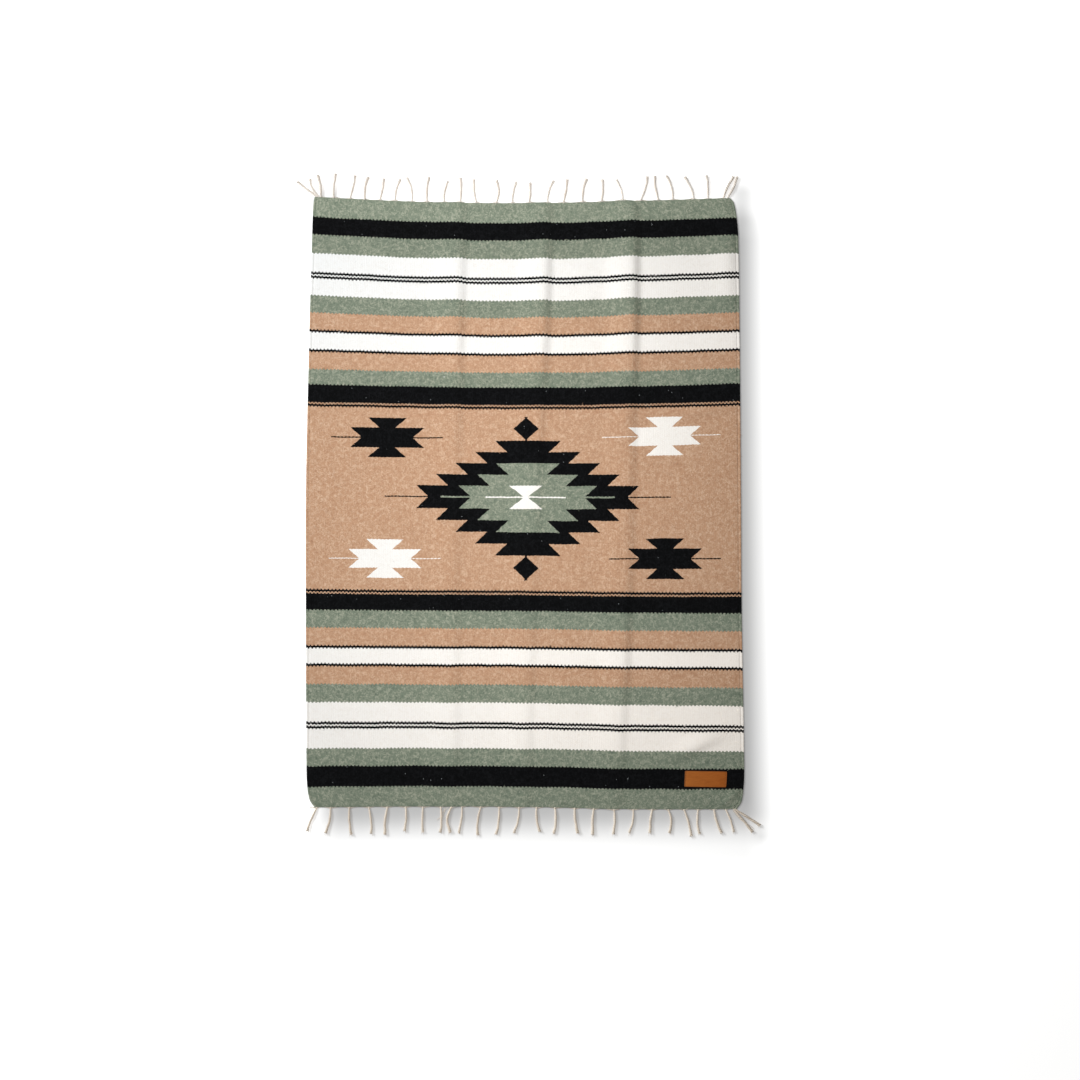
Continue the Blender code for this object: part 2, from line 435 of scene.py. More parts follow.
class Dressing(Graph):
    """The node tree of one material, with its shader."""

    def __init__(self, name: str, **constants: float) -> None:
        """Start a material.

        Args:
            name: The material's name.
            constants: Values that are the same all over the surface, by the shader's socket names,
                with underscores for spaces.
        """
        self.material = bpy.data.materials.new(name)
        self.material.use_nodes = True
        super().__init__(self.material.node_tree)
        self.shader = self.tree.nodes["Principled BSDF"]
        for socket, value in constants.items():
            self.shader.inputs[socket.replace("_", " ")].default_value = value

    def place(self) -> Sock:
        """Where each point is in the frame, in metres."""
        return self.out(self.node("ShaderNodeTexCoord"), "Object")

    def attribute(self, name: str) -> Sock:
        """A vector that the piece carries at each of its points."""
        node = self.node("ShaderNodeAttribute", {"attribute_type": "GEOMETRY", "attribute_name": name})
        return self.out(node, "Vector")

    def parts(self, vector: Sock) -> tuple[Sock, Sock, Sock]:
        """The three numbers of a vector."""
        node = self.node("ShaderNodeSeparateXYZ", None, {"Vector": vector})
        return self.out(node, "X"), self.out(node, "Y"), self.out(node, "Z")

    def tint(self, colour: Sock, amount: Sock) -> Sock:
        """Make a colour lighter or darker by a number."""
        grey = self.vector(amount, amount, amount)
        node = self.node("ShaderNodeVectorMath", {"operation": "MULTIPLY"}, {0: colour, 1: grey})
        return self.out(node, "Vector")

    def finish(self, colour: Sock, roughness: Number, height: Sock, depth: float) -> bpy.types.Material:
        """Wire the shader.

        Args:
            colour: The base colour.
            roughness: The roughness.
            height: The relief, from 0 to 1.
            depth: How deep the relief is, in metres.

        Returns:
            The finished material.
        """
        self.fill(self.shader.inputs["Base Color"], colour)
        self.fill(self.shader.inputs["Roughness"], roughness)
        bump = self.node("ShaderNodeBump", None, {"Strength": 1.0, "Distance": depth, "Height": height})
        self.fill(self.shader.inputs["Normal"], bump.outputs["Normal"])
        return self.material


@dataclass(frozen=True)
class Wool:
    """One colour of weft: its ground, the paler and darker fibres felted into it, and how much."""

    ground: Colour
    pale: Colour
    dark: Colour
    flecks: float
    shadows: float


class Yarn(Enum):
    """The four colours of weft."""

    SAGE = Wool((0.194, 0.230, 0.173), (0.530, 0.530, 0.420), (0.075, 0.108, 0.080), 0.54, 0.58)
    TAN = Wool((0.505, 0.298, 0.184), (0.860, 0.660, 0.490), (0.300, 0.140, 0.070), 0.44, 0.42)
    BLACK = Wool((0.0011, 0.0012, 0.0015), (0.020, 0.021, 0.024), (0.001, 0.001, 0.0012), 0.40, 0.5)
    WHITE = Wool((0.925, 0.912, 0.893), (0.96, 0.950, 0.935), (0.790, 0.740, 0.680), 0.45, 0.36)


@dataclass(frozen=True)
class StripePattern:
    """The stripes from the cloth's middle to its end, the same towards both ends.

    Bands meet with a tiny overlap, so that no rounding leaves a gap between them.
    """

    overlap: float = 0.01
    bands: tuple[tuple[Yarn, float], ...] = (
        (Yarn.TAN, 211),
        (Yarn.BLACK, 4.5),
        (Yarn.TAN, 4),
        (Yarn.BLACK, 38.5),
        (Yarn.SAGE, 39),
        (Yarn.TAN, 39.5),
        (Yarn.BLACK, 4.5),
        (Yarn.WHITE, 39),
        (Yarn.BLACK, 4.5),
        (Yarn.TAN, 40),
        (Yarn.SAGE, 41),
        (Yarn.WHITE, 43),
        (Yarn.BLACK, 4.5),
        (Yarn.WHITE, 4.5),
        (Yarn.BLACK, 4.5),
        (Yarn.WHITE, 44.5),
        (Yarn.SAGE, 43.5),
        (Yarn.BLACK, 43.5),
        (Yarn.SAGE, 46.5),
    )

    def mask(self, wanted: Yarn, along: Sock) -> Sock:
        """Where the stripes of one yarn are.

        Args:
            wanted: The yarn.
            along: The place along the cloth.

        Returns:
            The mask.
        """
        distance = abs(along)
        found = []
        start = 0.0
        for yarn, width in self.bands:
            if yarn is wanted:
                found.append(abs(distance - (start + width / 2)) < width / 2 + self.overlap)
            start += width
        return any_of(found)


@dataclass(frozen=True)
class SteppedDiamond:
    """The stepped diamond in the middle of the field, with its core, its finials and its lines."""

    across: float = 5.4
    along: float = 4.0
    rows_across: float = 10.0
    stretch: float = 0.0124
    row_height: float = 26.7
    black_rows: int = 5
    black_wide: float = 256.5
    black_step: float = 45.1
    black_slant: float = 28.0
    core_rows: int = 3
    core_wide: float = 159.0
    core_step: float = 43.0
    core_slant: float = 29.0
    finial_place: float = 161.7
    finial_wide: float = 29.3
    finial_high: float = 26.8
    neck: float = 2.4
    neck_high: float = 3.5
    knob: float = 3.9
    knob_high: float = 1.2
    line_high: float = 1.35
    line_reach: float = 329.0
    inlay_high: float = 1.9
    inlay_from: float = 130.0
    inlay_to: float = 200.0
    glass_high: float = 27.0
    glass_wide: float = 38.5
    glass_waist: float = 3.5
    glass_line: float = 92.0
    thread_high: float = 1.5

    def stepped(self, side: Sock, up: Sock, rows: int, wide: float, step: float, slant: float) -> Sock:
        """A stepped form whose rows spread away from the middle line, like saw teeth.

        Args:
            side: The distance from the middle across.
            up: The distance from the middle along.
            rows: How many rows it has on each side of the middle.
            wide: Half of the widest row.
            step: How much narrower each further row is.
            slant: How much a row narrows towards the middle.

        Returns:
            The mask.
        """
        row = (up / self.row_height).floor()
        part = up / self.row_height - row
        half = wide - slant - row * step + part * slant
        return (side < half) * (up < rows * self.row_height)

    def masks(self, across: Sock, along: Sock) -> tuple[Sock, Sock, Sock]:
        """Where the motif is black, sage and white.

        Args:
            across: The place across the cloth.
            along: The place along the cloth.

        Returns:
            Three masks, each laid over the one before.
        """
        above = along - self.along
        side = abs(across - self.across)
        row_side = abs(across - self.rows_across)
        up = abs(above) + above * self.stretch
        height = abs(above)
        rows = self.black_rows
        body = self.stepped(row_side, up, rows, self.black_wide, self.black_step, self.black_slant)
        finial = abs(up - self.finial_place) / self.finial_high + side / self.finial_wide < 1.0
        root = self.finial_place - self.finial_high
        tip = self.finial_place + self.finial_high
        neck = (side < self.neck) * (abs(up - root) < self.neck_high)
        knob = (side < self.knob) * (abs(up - tip) < self.knob_high)
        line = (height < self.line_high) * (row_side < self.line_reach)
        black = body | finial | neck | knob | line
        core = self.stepped(row_side, up, self.core_rows, self.core_wide, self.core_step, self.core_slant)
        inlay = (height < self.inlay_high) * (row_side > self.inlay_from) * (row_side < self.inlay_to)
        spread = (self.glass_wide - self.glass_waist) / self.glass_high
        glass = (up < self.glass_high) * (side < up * spread + self.glass_waist)
        thread = (height < self.thread_high) * (side < self.glass_line)
        return black, core | inlay, glass | thread


@dataclass(frozen=True)
class CornerCrosses:
    """The four crosses round the diamond: two black and two white, in opposite corners."""

    across: float = 5.1
    along: float = 2.0
    skew: float = 0.00625
    low_left: float = 3.3
    out_across: float = 320.0
    out_along: float = 140.0
    body_high: float = 22.0
    body_waist: float = 58.5
    body_wide: float = 84.5
    arm_high: float = 44.8
    arm_root: float = 17.0
    arm_wide: float = 43.5
    black_spread: float = 1.1
    white_shrink: float = 0.7
    line_high: float = 1.0
    line_spread: float = 0.35
    line_reach: float = 129.0
    long_line: float = 15.0

    def masks(self, across: Sock, along: Sock) -> tuple[Sock, Sock]:
        """Where the crosses are black and where they are white.

        Args:
            across: The place across the cloth.
            along: The place along the cloth.

        Returns:
            Two masks.
        """
        right = across - self.across + (across < 0.0) * (along < 0.0) * self.low_left
        above = along - right * self.skew - self.along
        white = right * above > 0.0
        spread = self.black_spread - white * (self.black_spread + self.white_shrink)
        line_side = abs(abs(right) - self.out_across)
        line_up = abs(abs(above) - self.out_along)
        side = line_side - spread
        up = line_up - spread
        flare = (self.body_wide - self.body_waist) / self.body_high
        body = (up < self.body_high) * (side < up * flare + self.body_waist)
        opening = (self.arm_wide - self.arm_root) / (self.arm_high - self.body_high)
        arm = (up < self.arm_high) * (side < (up - self.body_high) * opening + self.arm_root)
        longer = (right > 0.0) * (above > 0.0) * (right < self.out_across) * self.long_line
        thin = spread * self.line_spread + self.line_high
        line = (line_up < thin) * (line_side < longer + self.line_reach)
        cross = body | arm * (up > self.body_high) | line
        return cross * (1.0 - white), cross * white


@dataclass(frozen=True)
class Strokes:
    """A layer of short curly strokes, as of fibres felted into the nap.

    The scale is how many go into a metre, sharp is how thin they are, and gate is how much of the cloth
    has none. The layer's number sets it apart from the others.
    """

    layer: float
    scale: float
    sharp: float
    gate: float
    crossed: bool = False
    strength: float = 1.0
    swirl: float = 0.9
    gate_scale: float = 0.9
    gate_edge: float = 9.0

    def mask(self, graph: Dressing, x: Sock, y: Sock) -> Sock:
        """Where the strokes are.

        Args:
            graph: The material's graph.
            x: The place across the cloth, in metres.
            y: The place along it.

        Returns:
            The mask.
        """
        place = graph.vector(y, x, self.layer) if self.crossed else graph.vector(x, y, self.layer)
        line = (1.0 - abs(graph.noise(place, self.scale, 1.0, self.swirl) - 0.5) * self.sharp).clamp()
        patches = graph.noise(place, self.scale * self.gate_scale, 1.0)
        return line * ((patches - self.gate) * self.gate_edge).clamp() * self.strength


@dataclass(frozen=True)
class Specks:
    """Small round specks in one yarn: lint, burrs or soot.

    The scale is how many could lie along a metre, size is their radius as a share of their spacing, and
    share is how many of them there are.
    """

    yarn: Yarn
    colour: Colour
    layer: float
    scale: float
    size: float
    share: float
    strength: float = 1.0
    shorten: float = 1.0

    def mask(self, graph: Dressing, x: Sock, y: Sock) -> Sock:
        """Where the specks are.

        Args:
            graph: The material's graph.
            x: The place across the cloth, in metres.
            y: The place along it.

        Returns:
            The mask.
        """
        place = graph.vector(x, y * self.shorten, self.layer)
        cells = graph.node("ShaderNodeTexVoronoi", None, {"Vector": place, "Scale": self.scale})
        lots = graph.node("ShaderNodeSeparateColor", None, {"Color": graph.out(cells, "Color")})
        chosen = graph.out(lots, "Red") < self.share
        return (graph.out(cells, "Distance") < self.size) * chosen * self.strength


@dataclass(frozen=True)
class Bead:
    """The bead of weft that each place on the cloth is in.

    Across and along are the place itself in millimetres, run is the place along counted in beads, and
    the two parts are how far it is from the bead's middle, from 0 to 1.
    """

    across: Sock
    along: Sock
    column: Sock
    offset: Sock
    run: Sock
    row: Sock
    rib_part: Sock
    row_part: Sock


@dataclass(frozen=True)
class WovenWool:
    """The finish of the weft-faced cloth: colours, felted fibres, weave relief and selvage line."""

    warp: float = 4.167
    bead_high: float = 4.5
    bulge: float = 0.16
    wander: float = 3.2
    tremble: float = 1.5
    black_spread: float = 0.95
    edge_softness: float = 0.78
    selvage_line: float = 6.0
    line_width: float = 1.3
    half_width: float = 500.0
    end_band_place: float = 652.0
    end_band_lift: float = 0.13
    relief: float = 0.45
    # Painted highlight: the colour that the black yarn is lightened to along the middle of each rib
    painted_rib_highlight: Colour = (0.004, 0.0044, 0.005)
    # Painted light: the white yarn's colour is multiplied from this cool, darker tint at the upper left to
    # the warm, lighter one at the lower right
    painted_cool_light: Colour = (0.900, 0.925, 0.945)
    painted_warm_light: Colour = (1.080, 1.025, 0.965)
    painted_light_slant: float = 0.714
    pale_fibres: tuple[Strokes, ...] = (
        Strokes(0.0, 95.0, 18.0, 0.43),
        Strokes(3.0, 125.0, 17.0, 0.45, crossed=True),
        Strokes(5.0, 180.0, 12.0, 0.49, strength=0.8),
    )
    dark_fibres: tuple[Strokes, ...] = (
        Strokes(11.0, 105.0, 16.0, 0.43),
        Strokes(13.0, 160.0, 12.0, 0.46, crossed=True),
    )
    specks: tuple[Specks, ...] = (
        Specks(Yarn.WHITE, (0.10, 0.07, 0.05), 0.3, 30.0, 0.036, 0.07, strength=0.75),
        Specks(Yarn.BLACK, (0.26, 0.28, 0.29), 0.6, 120.0, 0.085, 0.17, shorten=0.7),
        Specks(Yarn.SAGE, (0.74, 0.74, 0.70), 0.9, 26.0, 0.034, 0.22, strength=0.8),
    )
    stripes: StripePattern = StripePattern()
    diamond: SteppedDiamond = SteppedDiamond()
    crosses: CornerCrosses = CornerCrosses()

    def bead(self, graph: Dressing, x: Sock, y: Sock) -> Bead:
        """Lay out the weave: columns of weft beads over the warps, each bead two yarns high.

        Args:
            graph: The material's graph.
            x: The place across the cloth, in metres.
            y: The place along it.

        Returns:
            The bead at each place.
        """
        drift = graph.noise(graph.vector(x, y * 0.4, 0.0), 15.0, 1.0) - 0.5
        tremble = graph.noise(graph.vector(x, y * 0.4, 1.0), 90.0, 1.0) - 0.5
        across = x / MM
        along = y / MM + drift * self.wander + tremble * self.tremble
        ribs = across / self.warp
        rows = along / self.bead_high
        ribs = ribs - (ribs * math.pi).cos() * (rows * TURN).cos() * self.bulge
        column = ribs.floor()
        offset = graph.math("FLOORED_MODULO", column, 2.0) * 0.5
        run = rows + offset
        row = run.floor()
        rib_part = abs(ribs - column - 0.5) * 2.0
        row_part = abs(run - row - 0.5) * 2.0
        return Bead(across, along, column, offset, run, row, rib_part, row_part)

    def yarn_colours(
        self, graph: Dressing, x: Sock, y: Sock, bead: Bead, pale: Sock, dark: Sock
    ) -> dict[Yarn, Sock]:
        """What each yarn would look like at each place.

        Args:
            graph: The material's graph.
            x: The place across the cloth, in metres.
            y: The place along it.
            bead: The bead there.
            pale: Where pale fibres lie.
            dark: Where dark hollows are.

        Returns:
            The colour of each yarn.
        """
        colours = {}
        for yarn in Yarn:
            wool = yarn.value
            shaded = graph.mix(dark * wool.shadows, wool.ground, wool.dark)
            colours[yarn] = graph.mix(pale * wool.flecks, shaded, wool.pale)
        # Painted highlight: the black yarn is painted lighter along the middle of each rib
        painted_rib_highlight_share = (1.0 - bead.rib_part) * 0.5
        colours[Yarn.BLACK] = graph.mix(painted_rib_highlight_share, colours[Yarn.BLACK], self.painted_rib_highlight)
        for speck in self.specks:
            colours[speck.yarn] = graph.mix(speck.mask(graph, x, y), colours[speck.yarn], speck.colour)

        # Painted light: the white yarn is painted darker and cooler to the upper left and lighter and
        # warmer to the lower right, to stand in for how the light falls across the cloth
        width = 4 * self.half_width
        painted_light_share = (bead.across / width - bead.along / width * self.painted_light_slant + 0.5).clamp()
        painted_light_cast = graph.mix(painted_light_share, self.painted_cool_light, self.painted_warm_light)
        colours[Yarn.WHITE] = graph.mix(1.0, colours[Yarn.WHITE], painted_light_cast, "MULTIPLY")
        return colours

    def pattern(self, graph: Dressing, bead: Bead, colours: dict[Yarn, Sock]) -> Sock:
        """Colour each bead by the stripes and the motifs.

        Args:
            graph: The material's graph.
            bead: The bead at each place.
            colours: What each yarn looks like there.

        Returns:
            The colour.
        """
        def striped(wanted: Yarn, row: Sock) -> Sock:
            """Where the beads of some row are of one yarn."""
            return self.stripes.mask(wanted, (row + 0.25) * self.bead_high)

        colour = graph.mix(striped(Yarn.TAN, bead.row), colours[Yarn.SAGE], colours[Yarn.TAN])
        colour = graph.mix(striped(Yarn.WHITE, bead.row), colour, colours[Yarn.WHITE])

        # Black beads bulge a little over the ones above and below
        over = self.black_spread / self.bead_high
        black = any_of([striped(Yarn.BLACK, (bead.run + side * over).floor()) for side in (1, -1)])
        colour = graph.mix(black, colour, colours[Yarn.BLACK])

        # A motif's edge is softened between the steps of the beads and its true line
        hold = 1 - self.edge_softness
        across = (bead.column + 0.5) * (self.warp * hold) + bead.across * self.edge_softness
        middle = bead.row + 0.5 - bead.offset
        along = middle * (self.bead_high * hold) + bead.along * self.edge_softness
        black, sage, white = self.diamond.masks(across, along)
        black_cross, white_cross = self.crosses.masks(across, along)
        colour = graph.mix(black | black_cross, colour, colours[Yarn.BLACK])
        colour = graph.mix(sage, colour, colours[Yarn.SAGE])
        return graph.mix(white | white_cross, colour, colours[Yarn.WHITE])

    def material(self, name: str, lift: float = 1.0) -> bpy.types.Material:
        """Build the finish.

        Args:
            name: The material's name.
            lift: How much lighter than the cloth it is.

        Returns:
            The material.
        """
        graph = Dressing(name, Specular_IOR_Level=0.06, Sheen_Weight=0.04, Sheen_Roughness=0.5)
        x, y, _ = graph.parts(graph.attribute("flat"))
        bead = self.bead(graph, x, y)
        pale = any_of([layer.mask(graph, x, y) for layer in self.pale_fibres])
        dark = any_of([layer.mask(graph, x, y) for layer in self.dark_fibres])
        mottle = graph.noise(graph.vector(x, y, 7.0), 60.0, 4.0, 0.6)
        dark = (dark * 0.9 + (mottle - 0.5) * 0.45).clamp()
        colour = self.pattern(graph, bead, self.yarn_colours(graph, x, y, bead, pale, dark))

        # Painted shade darkens the hollows between beads; the line of the selvage is a little darker, and
        # the last band at the top end paler
        edge = self.half_width - abs(bead.across)
        line = (1.0 - abs(edge - self.selvage_line) / self.line_width).clamp()
        yarn_part = abs(bead.row_part * 2.0 - 1.0)
        rib_gap = bead.rib_part * bead.rib_part * bead.rib_part
        yarn_gap = yarn_part * yarn_part * yarn_part
        painted_hollow_shade = rib_gap * 0.07 + yarn_gap * 0.06
        fibre = graph.noise(graph.vector(x * 0.35, y, 5.0), 2600.0, 2.0)
        end_band_lighten = (bead.along > self.end_band_place) * self.end_band_lift
        colour = graph.tint(colour, (1.03 - painted_hollow_shade - line * 0.13 + (fibre - 0.5) * 0.12 + end_band_lighten) * lift)

        dome = (1.0 - rib_gap) * (1.0 - yarn_gap * (bead.row_part * 0.5 + 0.5))
        height = dome * 0.38 + mottle * 0.35 + pale * 0.25 + fibre * 0.3 - line * 0.8
        return graph.finish(colour, mottle * 0.12 + 0.86, height, self.relief * MM)


@dataclass(frozen=True)
class FringeYarn:
    """The finish of the undyed warp yarn: spun fibres, and a few darker ones."""

    light: Colour = (0.860, 0.775, 0.670)
    middle: Colour = (0.660, 0.570, 0.475)
    dark: Colour = (0.330, 0.265, 0.205)

    def material(self, name: str) -> bpy.types.Material:
        """Build the finish.

        Args:
            name: The material's name.

        Returns:
            The material.
        """
        graph = Dressing(name, Specular_IOR_Level=0.2, Sheen_Weight=0.12, Sheen_Roughness=0.5)
        place = graph.place()
        run, share, chance = graph.parts(graph.attribute("yarn"))
        spun = graph.noise(graph.vector(run * 0.3, share * 0.004, chance), 1900.0, 2.0, 0.8)
        cloud = graph.noise(place, 60.0, 2.0)
        tone = spun * 0.5 + cloud * 0.5 + (chance - 0.5) * 0.35
        colour = graph.mix((tone * 1.5 - 0.25).clamp(), self.middle, self.light)
        dusty = ((graph.noise(place, 700.0, 2.0) - 0.56) * 5.0).clamp() * 0.5 + share * share * 0.05
        colour = graph.mix(dusty.clamp(), colour, self.dark)
        return graph.finish(colour, cloud * 0.1 + 0.82, spun, 0.00025)


@dataclass(frozen=True)
class PatchLeather:
    """The finish of the bare leather patch: fine grain, warm brown, darker burnished edges."""

    left: Colour = (0.447, 0.136, 0.021)
    right: Colour = (0.396, 0.105, 0.012)
    edge: Colour = (0.060, 0.020, 0.008)
    width: float = 97.0

    def material(self, name: str) -> bpy.types.Material:
        """Build the finish.

        Args:
            name: The material's name.

        Returns:
            The material.
        """
        graph = Dressing(name, Specular_IOR_Level=0.22)
        x, y, edge = graph.parts(graph.attribute("patch"))
        cloud = graph.noise(graph.vector(x, y * 2.0, 0.0), 42.0, 3.0, 0.5)
        side = (x / (self.width * MM) + 0.5 + (cloud - 0.5) * 0.9).clamp()
        colour = graph.mix(side, self.left, self.right)
        values = {"Vector": graph.vector(x, y, 0.0), "Scale": 1250.0}
        cells = graph.node("ShaderNodeTexVoronoi", {"feature": "DISTANCE_TO_EDGE"}, values)
        grain = (graph.out(cells, "Distance") * 5.0).clamp()
        pores = graph.noise(graph.vector(x, y, 2.0), 900.0, 3.0)
        streak = graph.noise(graph.vector(x * 0.15, y, 4.0), 420.0, 3.0)
        colour = graph.tint(colour, grain * 0.10 + 0.86 + (streak - 0.5) * 0.35 + (pores - 0.5) * 0.2)
        worn = (edge + (cloud - 0.5) * 0.35).clamp()
        colour = graph.mix(worn, colour, self.edge)
        roughness = 0.62 - grain * 0.1 + (pores - 0.5) * 0.2
        return graph.finish(colour, roughness, grain * 0.55 + pores * 0.45, 0.00012)


@dataclass(frozen=True)
class StitchThread:
    """The finish of the brown waxed thread that holds the patch."""

    colour: Colour = (0.150, 0.052, 0.020)
    dark: Colour = (0.070, 0.024, 0.010)
    ply: float = 0.9

    def material(self, name: str) -> bpy.types.Material:
        """Build the finish.

        Args:
            name: The material's name.

        Returns:
            The material.
        """
        graph = Dressing(name, Specular_IOR_Level=0.4)
        x, y, z = graph.parts(graph.place())
        ply = ((x * 0.6 + y + z * 0.4) * (TURN / (self.ply * MM))).sin() * 0.5 + 0.5
        # Painted shade: the grooves between the plies are painted in the darker brown, along the same
        # stripes as the bump
        colour = graph.mix(ply, self.dark, self.colour)
        return graph.finish(colour, 0.55 - ply * 0.1, ply, 0.00015)


@dataclass(frozen=True)
class PaintedShade:
    """A soft-edged rectangle of painted shade on the floor, in millimetres from the cloth's middle."""

    centre: tuple[float, float]
    reach: tuple[float, float]
    softness: float
    depth: float

    def cover(self, x: Sock, y: Sock) -> Sock:
        """How deep in the shade each place is.

        Args:
            x: The distance to the right of the cloth's middle, in millimetres.
            y: The distance above it.

        Returns:
            1 in full shade, 0 outside it, with a soft edge.
        """
        cover = []
        for place, half, middle in zip((x, y), self.reach, self.centre):
            share = ((half - abs(place - middle)) / (2 * self.softness) + 0.5).clamp()
            cover.append(share * share * (3.0 - share * 2.0))
        return cover[0] * cover[1]


@dataclass(frozen=True)
class StudioPaper:
    """The finish of the white floor, with a painted soft shadow to the lower right of the cloth."""

    middle: tuple[float, float]
    colour: Colour = (0.90, 0.90, 0.90)
    glow: float = 0.57
    painted_shades: tuple[PaintedShade, ...] = (
        PaintedShade(centre=(42.0, -50.0), reach=(498.0, 699.0), softness=47.0, depth=0.54),
        PaintedShade(centre=(36.0, -90.0), reach=(498.0, 740.0), softness=42.0, depth=0.17),
        PaintedShade(centre=(16.0, 0.0), reach=(498.0, 692.0), softness=15.0, depth=0.09),
        PaintedShade(centre=(506.0, 690.0), reach=(28.0, 54.0), softness=27.0, depth=0.37),
        PaintedShade(centre=(-462.0, 702.0), reach=(42.0, 22.0), softness=24.0, depth=0.43),
        PaintedShade(centre=(535.0, -763.0), reach=(12.0, 10.0), softness=22.0, depth=0.24),
    )

    def material(self, name: str) -> bpy.types.Material:
        """Build the finish.

        Args:
            name: The material's name.

        Returns:
            The material.
        """
        graph = Dressing(name, Specular_IOR_Level=0.1, Emission_Strength=self.glow)
        place = graph.place()
        x, y, _ = graph.parts(place)
        x = (x - self.middle[0]) / MM
        y = (y - self.middle[1]) / MM
        # Painted shadow: the floor's colour and glow are darkened inside the rectangles of painted shade
        light = reduce(
            lambda first, second: first * second,
            [1.0 - shade.cover(x, y) * shade.depth for shade in self.painted_shades],
        )
        graph.fill(graph.shader.inputs["Emission Color"], graph.vector(light, light, light))
        tooth = graph.noise(place, 300.0, 2.0)
        colour = graph.mix(tooth, self.colour, tuple(part * 0.985 for part in self.colour))
        return graph.finish(graph.tint(colour, light), 0.9, tooth, 0.00003)


class GeometryGraph(Graph):
    """A tree of geometry nodes that grows a piece from a guide."""

    KINDS = {float: "NodeSocketFloat", int: "NodeSocketInt", bpy.types.Material: "NodeSocketMaterial"}

    def __init__(self, name: str, values: dict[str, float | int | bpy.types.Material]) -> None:
        """Start a tree with named inputs.

        Args:
            name: The tree's name.
            values: The inputs' names and values.
        """
        super().__init__(bpy.data.node_groups.new(name, "GeometryNodeTree"))
        sockets = self.tree.interface
        sockets.new_socket("Geometry", in_out="INPUT", socket_type="NodeSocketGeometry")
        self.values = values
        self.identifiers = {}
        for label, value in values.items():
            item = sockets.new_socket(label, in_out="INPUT", socket_type=self.KINDS[type(value)])
            self.identifiers[label] = item.identifier
        sockets.new_socket("Geometry", in_out="OUTPUT", socket_type="NodeSocketGeometry")
        self.start = self.node("NodeGroupInput")

    def given(self, name: str) -> Sock:
        """One of the tree's inputs."""
        return self.out(self.start, name)

    def step(self, kind: str, settings: dict | None = None, **values: Fill) -> Sock:
        """Add a geometry node, with underscores for spaces in its sockets' names."""
        filled = {name.replace("_", " "): value for name, value in values.items()}
        return self.out(self.node("GeometryNode" + kind, settings, filled))

    def named(self, name: str) -> Sock:
        """A number that the guide carries at each point."""
        return self.step("InputNamedAttribute", {"data_type": "FLOAT"}, Name=name)

    def chance(self, low: float, high: float, seed: Number) -> Sock:
        """A number by chance at each point, between two limits and from a fixed seed."""
        values = {"Min": low, "Max": high, "Seed": seed}
        return self.out(self.node("FunctionNodeRandomValue", {"data_type": "FLOAT"}, values), "Value")

    def turned(self, rotation: Sock, angles: Sock) -> Sock:
        """Turn a rotation further, about its own axes.

        Args:
            rotation: The rotation.
            angles: How far it is turned about each axis, as a vector.

        Returns:
            The new rotation.
        """
        lean = self.node("FunctionNodeEulerToRotation", None, {"Euler": angles})
        values = {"Rotation": rotation, "Rotate By": self.out(lean)}
        return self.out(self.node("FunctionNodeRotateRotation", {"rotation_space": "LOCAL"}, values))

    def directions(self, operation: str, first: Fill, second: Fill | None = None) -> Sock:
        """Work on vectors.

        Args:
            operation: What the node works out.
            first: The first vector.
            second: The second vector or scale, if it takes one.

        Returns:
            The vector.
        """
        node = self.node("ShaderNodeVectorMath", {"operation": operation}, {0: first})
        if second is not None:
            self.fill(node.inputs["Scale"] if operation == "SCALE" else node.inputs[1], second)
        return self.out(node, "Vector")

    def end(self, geometry: Sock) -> None:
        """Make the result real, give it its material, and close the tree."""
        real = self.step("RealizeInstances", Geometry=geometry)
        smooth = self.step("SetShadeSmooth", Geometry=real)
        painted = self.step("SetMaterial", Geometry=smooth, Material=self.given("Material"))
        self.node("NodeGroupOutput", None, {"Geometry": painted})

    def grow(self, guide: bpy.types.Mesh, name: str) -> bpy.types.Object:
        """Run the tree on a guide and keep the result as a plain mesh.

        Args:
            guide: The lines or the surface that the piece follows.
            name: The piece's name.

        Returns:
            The piece.
        """
        holder = bpy.data.objects.new(name + "_guide", guide)
        bpy.context.scene.collection.objects.link(holder)
        modifier = holder.modifiers.new("grow", "NODES")
        modifier.node_group = self.tree
        for label, identifier in self.identifiers.items():
            modifier[identifier] = self.values[label]
        grown = holder.evaluated_get(bpy.context.evaluated_depsgraph_get())
        mesh = bpy.data.meshes.new_from_object(grown)
        holder.modifiers.remove(modifier)
        bpy.data.objects.remove(holder)
        mesh.name = name
        return add_piece(name, mesh)


